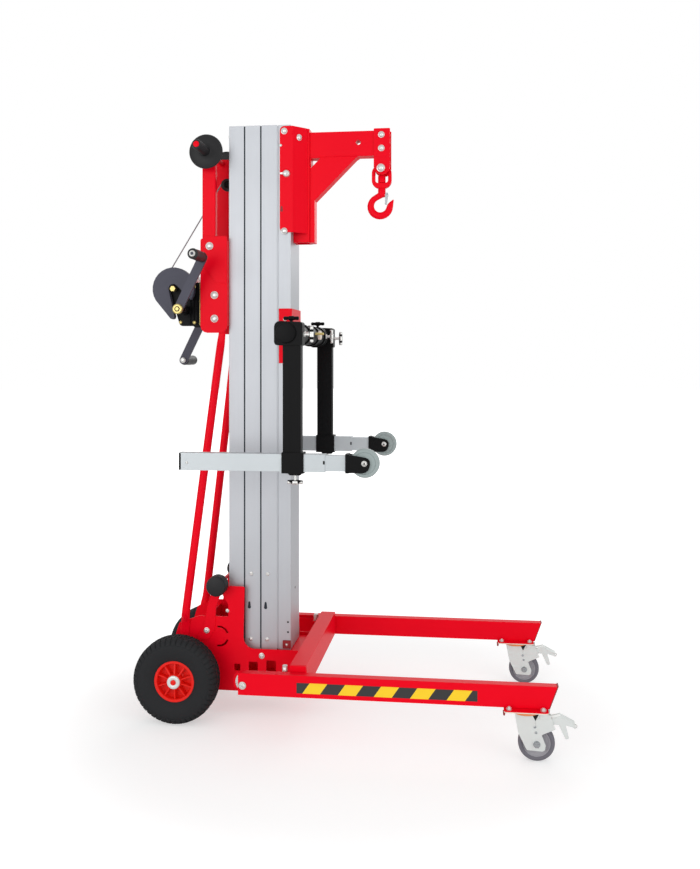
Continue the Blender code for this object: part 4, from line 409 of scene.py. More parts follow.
def lathe(profile: Outline, centre: Vector, axis: Axis = Axis.Y, way: int = 1,
          steps: int = 64) -> Solid:
    """Turn a section about an axis.

    Args:
        profile: (radius, distance along the axis) pairs in millimetres, in order round the section.
        centre: A point on the axis, in metres.
        axis: Direction of the axis.
        way: One, or minus one to run against the axis.
        steps: Faces round the piece.

    Returns:
        The closed solid.
    """
    bm = bmesh.new()
    rings = []
    for radius, along in profile:
        count = steps if radius > 0 else 1
        turns = [2 * math.pi * i / steps for i in range(count)]
        rings.append([bm.verts.new((radius * MM * math.cos(a), radius * MM * math.sin(a),
                                    along * MM)) for a in turns])
    pairs = list(zip(rings, rings[1:]))
    if profile[0][0] > 0:
        pairs.append((rings[-1], rings[0]))
    for one, two in pairs:
        for i in range(steps):
            k = (i + 1) % steps
            ring = [one[i % len(one)], one[k % len(one)], two[k % len(two)], two[i % len(two)]]
            corners = list(dict.fromkeys(ring))
            if len(corners) > 2:
                bm.faces.new(corners)
    turn = Vector((0, 0, 1)).rotation_difference(Vector(axis.value) * way).to_matrix().to_4x4()
    bm.transform(Matrix.Translation(centre) @ turn)
    return outward(bm)


def skinned(rings: Sequence[Sequence[Vector]]) -> Solid:
    """Skin rings of points, one after the other, and close both ends.

    Args:
        rings: Points of each ring in metres, as many in each.

    Returns:
        The closed solid.
    """
    bm = bmesh.new()
    laid = [[bm.verts.new(point) for point in ring] for ring in rings]
    total = len(laid[0])
    for one, two in zip(laid, laid[1:]):
        for k in range(total):
            m = (k + 1) % total
            bm.faces.new((one[k], one[m], two[m], two[k]))
    bm.faces.new(laid[0])
    bm.faces.new(laid[-1])
    return outward(bm)


def loft(path: Sequence[Vector], halves: Sequence[tuple[float, float]], wide: Vector,
         sides: int = 24) -> Solid:
    """Skin ellipses that stand square to a path.

    Args:
        path: Centres of the sections, in metres.
        halves: Half width across and along wide of each section, in millimetres.
        wide: Direction that stays square to the path.
        sides: Points of a section.

    Returns:
        The closed solid.
    """
    turns = [2 * math.pi * k / sides for k in range(sides)]
    rings = []
    for i, point in enumerate(path):
        heading = (path[min(i + 1, len(path) - 1)] - path[max(i - 1, 0)]).normalized()
        across = heading.cross(wide).normalized()
        half, depth = halves[i]
        rings.append([point + (across * half * math.cos(a) + wide * depth * math.sin(a)) * MM for a in turns])
    return skinned(rings)


def slab(outline: Outline, side: int, first: float, last: float, middle: float = 0.0) -> Solid:
    """Extrude an outline along Y on one side of a middle plane.

    Args:
        outline: Points in (x, z), in millimetres.
        side: Minus one on the near side, one on the far side.
        first: Distance from the middle plane to one face.
        last: Distance to the other face.
        middle: Where the middle plane stands along Y.

    Returns:
        The closed solid.
    """
    low, high = sorted((middle + side * first, middle + side * last))
    return prism(outline, Axis.Y, low, high)


def both(outline: Outline, first: float, last: float, middle: float = 0.0) -> list[Solid]:
    """The same slab on both sides of a middle plane, the near one first."""
    return [slab(outline, side, first, last, middle) for _, side in SIDES]


def both_turned(profile: Outline, centre: Vector, steps: int) -> list[Solid]:
    """The same section turned about Y on both sides, the near one first."""
    return [lathe(profile, centre, Axis.Y, side, steps) for _, side in SIDES]


def seated(reach: float, *places: tuple[float, float], middle: float = 0.0) -> list[tuple[Vector, Vector]]:
    """Find the seats of fasteners on two faces that look away from a middle plane.

    Args:
        reach: Distance from the middle plane to each face, in millimetres.
        places: (x, z) of each fastener.
        middle: Where the middle plane stands along Y.

    Returns:
        Seat in metres and outward direction of each fastener.
    """
    return [(at(x, middle + side * reach, z), Vector((0, side, 0))) for _, side in SIDES for x, z in places]


def mesh_of(name: str, bm: Solid) -> bpy.types.Mesh:
    """Move a solid to a new mesh.

    Args:
        name: Name of the mesh.
        bm: The solid, which is freed.

    Returns:
        The mesh.
    """
    mesh = bpy.data.meshes.new(name)
    bm.to_mesh(mesh)
    bm.free()
    return mesh


def gathered(*solids: Solid) -> Solid:
    """Put several solids in one.

    Args:
        solids: The solids, which are freed.

    Returns:
        All of them together.
    """
    whole = bmesh.new()
    for bm in solids:
        mesh = mesh_of("gathered", bm)
        whole.from_mesh(mesh)
        bpy.data.meshes.remove(mesh)
    return whole


def linked(name: str, mesh: bpy.types.Mesh, finish: Finish) -> Piece:
    """Stand a mesh in the scene with its finish.

    Args:
        name: Name of the object.
        mesh: Its mesh.
        finish: The finish of all its faces.

    Returns:
        The object.
    """
    mesh.materials.append(finish.material())
    obj = bpy.data.objects.new(name, mesh)
    bpy.context.collection.objects.link(obj)
    return obj


def applied(obj: Piece) -> Piece:
    """Turn an object's modifiers to a plain mesh and remove them.

    Args:
        obj: The object, which is changed.

    Returns:
        The same object.
    """
    graph = bpy.context.evaluated_depsgraph_get()
    mesh = bpy.data.meshes.new_from_object(obj.evaluated_get(graph), preserve_all_data_layers=True,
                                           depsgraph=graph)
    obj.modifiers.clear()
    old = obj.data
    obj.data = mesh
    bpy.data.meshes.remove(old)
    return obj


def show(name: str, bm: Solid, finish: Finish, body: str, bevel: float = 0.0, sharp: float = BEVEL_DEGREES,
         instead: Sequence[str] = ()) -> Piece:
    """Make a finished piece that rides on a body.

    Args:
        name: Name of the piece.
        bm: Its mesh in metres.
        finish: Its finish.
        body: The CAD body that it moves with.
        bevel: Width of the rounded edges in millimetres, zero for none.
        sharp: Angle in degrees past which an edge stays sharp.
        instead: CAD nodes that it stands for.

    Returns:
        The piece.
    """
    mesh = mesh_of(name, bm)
    mesh.shade_smooth()
    obj = linked(name, mesh, finish)
    if bevel:
        edge = obj.modifiers.new("edge", "BEVEL")
        edge.width = bevel * MM
        edge.segments = 2
        edge.limit_method = "ANGLE"
        edge.angle_limit = math.radians(BEVEL_DEGREES)
        flat = obj.modifiers.new("flat", "WEIGHTED_NORMAL")
        flat.weight = 100
        flat.keep_sharp = True
        applied(obj)
    else:
        mesh.set_sharp_from_angle(angle=math.radians(sharp))
    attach(obj, body)
    if instead:
        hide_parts(*instead)
    LOG.info("%s on %s: %d faces", name, body, len(obj.data.polygons))
    return obj


def dressed(node: str, finish: Finish, body: str, bevel: float = 0.8) -> Piece:
    """Copy a CAD node's mesh, round its edges and show the copy in the node's place.

    Args:
        node: The CAD node.
        finish: The finish of the copy.
        body: The CAD body that it moves with.
        bevel: Width of the rounded edges in millimetres.

    Returns:
        The piece.
    """
    bm = bmesh.new()
    bm.from_mesh(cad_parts[node].data)
    bmesh.ops.remove_doubles(bm, verts=bm.verts, dist=2e-6)
    bmesh.ops.dissolve_limit(bm, angle_limit=math.radians(0.4), verts=bm.verts, edges=bm.edges)
    return show(node + "_skin", bm, finish, body, bevel, 30.0, (node,))


def coat(finish: Finish, *nodes: str) -> None:
    """Give CAD nodes whose shape is right their finish.

    Args:
        finish: The finish.
        nodes: The CAD nodes that show it.
    """
    for node in nodes:
        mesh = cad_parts[node].data
        mesh.materials.clear()
        mesh.materials.append(finish.material())


class Repeat:
    """Geometry node trees for what repeats."""

    @staticmethod
    def tree(name: str, sockets: Mapping[str, str]) -> Tree:
        """Start a tree with named inputs and a geometry output.

        Args:
            name: Name of the tree.
            sockets: Name and type of each input.

        Returns:
            The tree.
        """
        tree = bpy.data.node_groups.new(name, "GeometryNodeTree")
        for label, kind in sockets.items():
            tree.interface.new_socket(label, in_out="INPUT", socket_type=kind)
        tree.interface.new_socket("Geometry", in_out="OUTPUT", socket_type="NodeSocketGeometry")
        return tree

    @staticmethod
    def close(tree: Tree, copies: Node, finish: bpy.types.NodeSocket) -> None:
        """End a tree in real geometry with its material.

        Args:
            tree: The tree.
            copies: The node that gives the copies.
            finish: The socket that gives their material.
        """
        real = add(tree, "GeometryNodeRealizeInstances", {}, {0: copies.outputs[0]})
        done = add(tree, "GeometryNodeSetMaterial", {}, {"Geometry": real.outputs[0], "Material": finish})
        add(tree, "NodeGroupOutput", {}, {0: done.outputs[0]})

    @classmethod
    def ring_tree(cls) -> Tree:
        """Build the tree that turns copies of the piece about a line through Centre along Y.

        Returns:
            The tree, the same one at every call.
        """
        found = bpy.data.node_groups.get("ring_of_copies")
        if found:
            return found
        tree = cls.tree("ring_of_copies", {
            "Geometry": "NodeSocketGeometry", "Count": "NodeSocketInt", "Centre": "NodeSocketVector",
            "Finish": "NodeSocketMaterial"})
        inlet = add(tree, "NodeGroupInput")
        points = add(tree, "GeometryNodePoints", {},
                     {"Count": inlet.outputs["Count"], "Position": inlet.outputs["Centre"]})
        index = add(tree, "GeometryNodeInputIndex")
        share = add(tree, "ShaderNodeMath", {"operation": "DIVIDE"},
                    {0: index.outputs[0], 1: inlet.outputs["Count"]})
        turn = add(tree, "ShaderNodeMath", {"operation": "MULTIPLY"}, {0: share.outputs[0], 1: 2 * math.pi})
        about = add(tree, "ShaderNodeCombineXYZ", {}, {1: turn.outputs[0]})
        spin = add(tree, "FunctionNodeEulerToRotation", {}, {0: about.outputs[0]})
        copies = add(tree, "GeometryNodeInstanceOnPoints", {}, {
            "Points": points.outputs[0], "Instance": inlet.outputs["Geometry"], "Rotation": spin.outputs[0]})
        cls.close(tree, copies, inlet.outputs["Finish"])
        return tree

    @classmethod
    def scatter_tree(cls) -> Tree:
        """Build the tree that sets copies of an object on the piece's points, turned by each point's angles.

        Returns:
            The tree, the same one at every call.
        """
        found = bpy.data.node_groups.get("copies_on_points")
        if found:
            return found
        tree = cls.tree("copies_on_points", {
            "Geometry": "NodeSocketGeometry", "Copied": "NodeSocketObject", "Size": "NodeSocketFloat",
            "Finish": "NodeSocketMaterial"})
        inlet = add(tree, "NodeGroupInput")
        source = add(tree, "GeometryNodeObjectInfo", {}, {"Object": inlet.outputs["Copied"]})
        points = add(tree, "GeometryNodeMeshToPoints", {}, {0: inlet.outputs["Geometry"]})
        turn = add(tree, "GeometryNodeInputNamedAttribute", {"data_type": "FLOAT_VECTOR"}, {0: "turn"})
        spin = add(tree, "FunctionNodeEulerToRotation", {}, {0: turn.outputs[0]})
        copies = add(tree, "GeometryNodeInstanceOnPoints", {}, {
            "Points": points.outputs[0], "Instance": source.outputs["Geometry"], "Rotation": spin.outputs[0],
            "Scale": inlet.outputs["Size"]})
        cls.close(tree, copies, inlet.outputs["Finish"])
        return tree

    @staticmethod
    def run(obj: Piece, tree: Tree,
            values: Mapping[str, object]) -> Piece:
        """Run a tree on an object and keep the result as a plain mesh.

        Args:
            obj: The object, which is changed.
            tree: The tree.
            values: A value for each of its named inputs.

        Returns:
            The same object.
        """
        modifier = obj.modifiers.new("repeat", "NODES")
        modifier.node_group = tree
        for item in tree.interface.items_tree:
            if item.name in values and item.in_out == "INPUT":
                modifier[item.identifier] = values[item.name]
        return applied(obj)

    @classmethod
    def placed(cls, obj: Piece, tree: Tree, values: Mapping[str, object],
               body: str) -> Piece:
        """Run a tree on an object, shade the copies and let them ride on a body.

        Args:
            obj: The object, which is changed.
            tree: The tree.
            values: A value for each of its named inputs.
            body: The CAD body that the copies move with.

        Returns:
            The same object.
        """
        cls.run(obj, tree, values)
        obj.data.shade_smooth()
        obj.data.set_sharp_from_angle(angle=math.radians(COPY_SHARP_DEGREES))
        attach(obj, body)
        LOG.info("%s on %s: %d faces", obj.name, body, len(obj.data.polygons))
        return obj

    @classmethod
    def ring(cls, name: str, bm: Solid, count: int, centre: Vector, finish: Finish,
             body: str) -> Piece:
        """Repeat a solid that is modelled about the origin round a line along Y.

        Args:
            name: Name of the piece.
            bm: The solid in metres.
            count: Number of copies.
            centre: A point on the line, in metres.
            finish: Finish of the copies.
            body: The CAD body that they move with.

        Returns:
            The piece.
        """
        obj = linked(name, mesh_of(name, bm), finish)
        values = {"Count": count, "Centre": tuple(centre), "Finish": finish.material()}
        return cls.placed(obj, cls.ring_tree(), values, body)

    @classmethod
    def scatter(cls, name: str, sample: Piece, places: Sequence[tuple[Vector, Vector]],
                finish: Finish,
                body: str, size: float = 1.0) -> Piece:
        """Set copies of a sample at places, its +Z turned to each place's direction.

        Args:
            name: Name of the piece.
            sample: The object that is copied; it is modelled at the origin.
            places: Seat and outward direction of each copy.
            finish: Finish of the copies.
            body: The CAD body that they move with.
            size: Scale of the copies.

        Returns:
            The piece.
        """
        mesh = bpy.data.meshes.new(name)
        mesh.from_pydata([tuple(seat) for seat, _ in places], [], [])
        turns = mesh.attributes.new("turn", "FLOAT_VECTOR", "POINT")
        for item, (_, way) in zip(turns.data, places):
            item.vector = UP.rotation_difference(way).to_euler()
        values = {"Copied": sample, "Size": size, "Finish": finish.material()}
        return cls.placed(linked(name, mesh, finish), cls.scatter_tree(), values, body)


@dataclass
class Fasteners:
    """Samples of the bolts and screws, modelled at the origin with their heads along +Z."""

    made: dict[str, Piece] = field(default_factory=dict)

    def sample(self, name: str, *parts: tuple[Outline, int]) -> Piece:
        """Return a sample, turned at its first use.

        Args:
            name: Name of the sample.
            parts: Section and number of faces of each turned part.

        Returns:
            The sample, which stands in no collection.
        """
        if name not in self.made:
            turned = [lathe(profile, Vector((0, 0, 0)), Axis.Z, 1, steps) for profile, steps in parts]
            self.made[name] = bpy.data.objects.new(name, mesh_of(name, gathered(*turned)))
        return self.made[name]

    def button(self) -> Piece:
        """Button-head screw, M10, on a washer 20 mm across, with a socket.

        Returns:
            The sample.
        """
        washer = [(0, -0.2), (10, -0.2), (10.2, 0.3), (10, 1.6), (9.4, 1.9), (0, 1.9)]
        head = [(0, 1.6), (8.4, 1.6), (8.4, 2.4), (7.6, 4.4), (5.8, 6.0), (3.6, 6.6), (3.4, 6.4), (3.2, 4.2),
                (0, 4.2)]
        return self.sample("button_screw", (washer, 24), (head, 24))

    def hexagon(self) -> Piece:
        """Hexagon bolt, M10, on a washer.

        Returns:
            The sample.
        """
        washer = [(0, -0.2), (10, -0.2), (10.2, 0.4), (9.8, 1.9), (0, 1.9)]
        head = [(0, 1.7), (9.2, 1.7), (9.2, 6.6), (8.2, 7.6), (0, 7.9)]
        return self.sample("hexagon_bolt", (washer, 24), (head, 6))

    def nut(self) -> Piece:
        """Lock nut with the end of its stud.

        Returns:
            The sample.
        """
        nut = [(0, -0.2), (8.6, -0.2), (9.2, 0.6), (9.2, 6.4), (8.0, 7.0), (6.4, 9.0), (5.2, 9.2), (0, 8.6)]
        stud = [(0, 8.0), (4.2, 8.0), (4.2, 10.6), (3.6, 11.2), (0, 11.2)]
        return self.sample("lock_nut", (nut, 6), (stud, 12))

    def screw(self) -> Piece:
        """Small pan-head screw, 9 mm across, with a socket."""
        head = [(0, -0.2), (4.5, -0.2), (4.5, 0.8), (3.8, 2.2), (2.2, 2.8), (1.9, 2.6), (1.8, 1.2), (0, 1.2)]
        return self.sample("pan_screw", (head, 16))


FASTENERS = Fasteners()


@dataclass
class RearWheels:
    """Block-tread tyres on ribbed plastic rims, the axle between them and its caps."""

    radius: float = 130.0
    track: float = 175.0
    height: float = 130.0
    rim_radius: float = 58.5
    blocks: int = 46
    ribs: int = 10
    hub_radius: float = 22.0
    hub_half: float = 32.0

    def build(self) -> None:
        """Make both wheels and dress the axle."""
        for name, side in SIDES:
            self.tyre(name, side)
            self.rim(name, side)
        self.axle()

    def tyre(self, name: str, side: int) -> None:
        """Make one tyre: a rounded carcass with four rows of tread blocks.

        Args:
            name: Near or far.
            side: Minus one on the near side, one on the far side.
        """
        centre = at(0, side * self.track, self.height)
        half = [(58.8, 24), (62.5, 29), (72, 34), (88, 38.2), (103, 39.6), (113, 38.2), (120.4, 33.6),
                (125.4, 27),
                (127.6, 17), (128.0, 8)]
        body = f"wheel_{name}"
        show(f"tyre_carcass_{name}", lathe(mirrored(half), centre, steps=96), TYRE, body,
             instead=(f"tyre_{name}",))
        for row, (low, high, turn) in enumerate(((2, 15, 0.0), (-15, -2, 0.5))):
            Repeat.ring(f"tread_{name}_{row}", self.block(low, high, turn), self.blocks, centre, TYRE, body)
        for row, (way, turn) in enumerate(((-1, 0.0), (1, 0.5))):
            Repeat.ring(f"shoulder_{name}_{row}", self.shoulder(way, turn), self.blocks, centre, TYRE, body)

    def block(self, low: float, high: float, turn: float) -> Solid:
        """Make one tread block above the origin, with slanted sides.

        Args:
            low: Where it starts along the axle, in millimetres.
            high: Where it ends.
            turn: How far round the wheel it stands, in pitches.

        Returns:
            The block.
        """
        pitch = 2 * math.pi / self.blocks
        layers = []
        for radius, shrink in ((self.radius - 4, 0.0), (self.radius - 0.6, 0.6), (self.radius, 1.4)):
            ring = []
            for share, along in ((-0.36, low), (0.26, low), (0.36, high), (-0.26, high)):
                angle = (share + turn) * pitch - math.copysign(shrink, share) / radius
                inward = shrink if along == low else -shrink
                ring.append(Vector((radius * math.sin(angle), along + inward, radius * math.cos(angle))) * MM)
            layers.append(ring)
        return skinned(layers)

    def shoulder(self, way: int, turn: float) -> Solid:
        """Make one shoulder block that wraps from the tread onto the side wall.

        Args:
            way: Minus one or one, the side wall that it lies on.
            turn: How far round the wheel it stands, in pitches.

        Returns:
            The block.
        """
        section = [(120.0, 17.0), (129.4, 17.5), (127.3, 27.0), (122.4, 34.6), (116.6, 38.6), (112.0, 39.6),
                   (108.0, 37.0)]
        rings = []
        for share in (-0.38, 0.38):
            angle = (share + turn) * 2 * math.pi / self.blocks
            rings.append([Vector((radius * math.sin(angle), way * along, radius * math.cos(angle))) * MM
                          for radius, along in section])
        return skinned(rings)

    def rim(self, name: str, side: int) -> None:
        """Make one rim: hub, dished web, outer ring with a lip, and ribs on both faces.

        Args:
            name: Near or far.
            side: Minus one on the near side, one on the far side.
        """
        centre = at(0, side * self.track, self.height)
        body = f"wheel_{name}"
        hub, reach, outer = self.hub_radius, self.hub_half, self.rim_radius
        half = [(10.6, reach), (hub - 1.5, reach), (hub, reach - 1.5), (hub + 1, 8), (hub + 5, 5),
                (outer - 9, 5),
                (outer - 5.5, 8), (outer - 5, 27), (outer - 3.5, 28.5), (outer + 2.5, 28.5),
                (outer + 3.6, 27.5),
                (outer + 3.6, 25.5), (outer, 23.5)]
        show(f"rim_body_{name}", lathe(mirrored(half), centre, steps=80), RIM, body, instead=(f"rim_{name}",))
        ribs = []
        for way in (-1, 1):
            rows = ((hub - 1, 27.0), (hub + 12, 22.5), (outer - 3.5, 22.0))
            ribs.append(skinned([[Vector((x, way * y, radius)) * MM for x, y in (
                (-2.6, 4.0), (-1.9, crest), (1.9, crest), (2.6, 4.0))] for radius, crest in rows]))
        Repeat.ring(f"rim_ribs_{name}", gathered(*ribs), self.ribs, centre, RIM, body)

    def axle(self) -> None:
        """Make the axle with its spacers and caps, and a plug in each cap."""
        end = self.track + self.hub_half + 0.3
        inner = self.track - self.hub_half - 0.3
        half = [(0, end + 2.6), (8.4, end + 2.6), (8.8, end + 4.4), (14, end + 5.6), (18.4, end + 4.6),
                (20, end + 2.4), (20, end), (10, end), (10, inner), (16, inner), (17, inner - 1), (17, 102.3),
                (16, 101.4), (10, 101.4)]
        middle = at(0, 0, self.height)
        show("axle_turned", lathe(mirrored(half), middle, steps=48), ZINC, "base", instead=("rear_axle",))
        plug = [(0, end + 2.4), (8.0, end + 2.4), (8.0, end + 4.8), (6.4, end + 5.7), (0, end + 5.9)]
        show("axle_plugs", gathered(*both_turned(plug, middle, 32)), RIM, "base")


@dataclass
class Base:
    """Chassis, cross beam, leg brackets, pivots, lock pins, loading rollers and stays."""

    plate_y: float = 101.0
    strap_y: float = 75.6
    roller: tuple[float, float] = (112.0, 404.0)
    roller_y: float = 124.3
    rod_end_y: float = 143.4
    pivot: tuple[float, float] = (240.0, 172.0)
    bracket_y: float = 284.7
    leg_y: float = 325.3
    pin: tuple[float, float] = (353.0, 273.7)
    ledge: float = 194.3
    stay_foot: tuple[float, float] = (2.0, 255.0)
    stay_head: tuple[float, float] = (119.0, 1190.0)

    def build(self) -> None:
        """Dress every piece of the base."""
        dressed("chassis", RED, "base", 0.7)
        dressed("cross_beam", RED, "base", 0.8)
        self.bolts()
        self.foot_straps()
        for name, side in SIDES:
            self.loading_roller(name, side)
            self.pivot_bolt(name, side)
            self.lock_pin(name, side)
            self.stay(name, side)

    def bolts(self) -> None:
        """Set the bolts of the side plates and the loading arms."""
        seats = seated(self.plate_y, (246, 186)) + seated(self.plate_y + 4, (73, 259))
        Repeat.scatter("base_bolts", FASTENERS.button(), seats, BOLT, "base", 0.9)
        Repeat.scatter("base_screws", FASTENERS.screw(), seated(self.plate_y, (138, 321)), BOLT, "base", 1.3)

    def foot_straps(self) -> None:
        """Make the bright straps at the mast's foot with their screws."""
        straps, small = [], []
        for start, length in ((192, 46), (243, 44)):
            straps += both(rectangle(start, 186, start + length, 195, 1), self.strap_y, self.strap_y + 2)
            small += seated(self.strap_y + 1.8, (start + length / 2, 190.5))
        show("foot_straps", gathered(*straps), ZINC, "base", 0.3)
        Repeat.scatter("foot_strap_screws", FASTENERS.screw(), small, BOLT, "base", 0.9)

    def loading_roller(self, name: str, side: int) -> None:
        """Make one rear loading roller with grooves, and the cap on its rod.

        Args:
            name: Near or far.
            side: Minus one on the near side, one on the far side.
        """
        x, z = self.roller
        half = [(6.6, 18.5), (12, 18.5), (12.5, 17.0), (27, 17.0), (28, 18.7), (29.6, 18.2), (31, 16),
                (31, 7),
                (29.8, 6), (29.8, 4), (31, 3)]
        show(f"loading_roller_turned_{name}", lathe(mirrored(half), at(x, side * self.roller_y, z), steps=56),
             GRIP,
             f"load_roller_{name}", instead=(f"loading_roller_{name}",))
        end = self.rod_end_y
        cap = [(0, end), (27.6, end), (28.4, end + 1), (27.6, end + 2.8), (24, end + 4), (0, end + 5)]
        show(f"loading_rod_cap_{name}", lathe(cap, at(x, 0, z), Axis.Y, side, 48), GRIP, "base")

    def pivot_bolt(self, name: str, side: int) -> None:
        """Make the pivot bolt of one leg with its spacer disc.

        Args:
            name: Near or far.
            side: Minus one on the near side, one on the far side.
        """
        centre = at(self.pivot[0], 0, self.pivot[1])
        beam, outer = self.bracket_y, self.leg_y
        disc = beam + 6.0
        profile = [(0, beam - 10), (8.4, beam - 10), (9, beam - 9), (9, beam - 1.3), (6, beam - 1.3),
                   (6, disc),
                   (27.4, disc), (28, disc + 0.6), (28, disc + 3.4), (27.4, disc + 4), (6, disc + 4),
                   (6, outer),
                   (10.6, outer), (11, outer + 0.4), (11, outer + 1.6), (0, outer + 1.6)]
        nut = [(0, outer + 1.5), (8.2, outer + 1.5), (9, outer + 2.3), (9, outer + 6.2), (8, outer + 7),
               (5, outer + 7.3), (4.6, outer + 5.8), (0, outer + 5.8)]
        turned = [lathe(profile, centre, Axis.Y, side, 48), lathe(nut, centre, Axis.Y, side, 6)]
        show(f"pivot_turned_{name}", gathered(*turned), BOLT, "base", sharp=30,
             instead=(f"leg_pivot_{name}",))

    def lock_pin(self, name: str, side: int) -> None:
        """Make one lock pin with a knurled head and a groove under it.

        Args:
            name: Near or far.
            side: Minus one on the near side, one on the far side.
        """
        x, y = self.pin
        ledge = self.ledge
        profile = [(0, ledge - 30), (4, ledge - 30), (5, ledge - 28.5), (5, ledge + 0.3), (8, ledge + 0.3),
                   (8, 212),
                   (7.4, 213), (7.4, 214.2), (8, 215), (8, 216.4), (6.6, 218), (0, 218.2)]
        show(f"lock_pin_turned_{name}", lathe(profile, at(x, side * y, 0), Axis.Z, 1, 32), BOLT,
             f"pin_{name}",
             instead=(f"lock_pin_{name}",))

    def stay(self, name: str, side: int) -> None:
        """Make one stay: a round tube pressed flat at both ends.

        Args:
            name: Near or far.
            side: Minus one on the near side, one on the far side.
        """
        stations = [(235, 103.8, 14, 2.5), (262, 103.8, 14, 2.5), (279, 104.2, 14, 2.9),
                    (292, 107.5, 13.6, 6.5),
                    (306, 114.5, 12.9, 11.6), (320, 115.4, 12.5, 12.5), (340, 115.2, 12.5, 12.5),
                    (800, 101.5, 12.5, 12.5), (1110, 90.9, 12.5, 12.5), (1128, 89.9, 12.6, 11.0),
                    (1144, 89.3, 12.8, 5.5), (1160, 89.2, 12, 2.6), (1185, 89.2, 10.5, 2.5),
                    (1210, 89.2, 9, 2.5)]
        (foot_x, foot_z), (head_x, head_z) = self.stay_foot, self.stay_head
        lean = (head_x - foot_x) / (head_z - foot_z)
        path = [at(foot_x + lean * (z - foot_z), side * y, z) for z, y, _, _ in stations]
        halves = [(half, depth) for _, _, half, depth in stations]
        show(f"stay_tube_{name}", loft(path, halves, Vector((0, 1, 0)), 28), RED, "base",
             instead=(f"stay_{name}",))


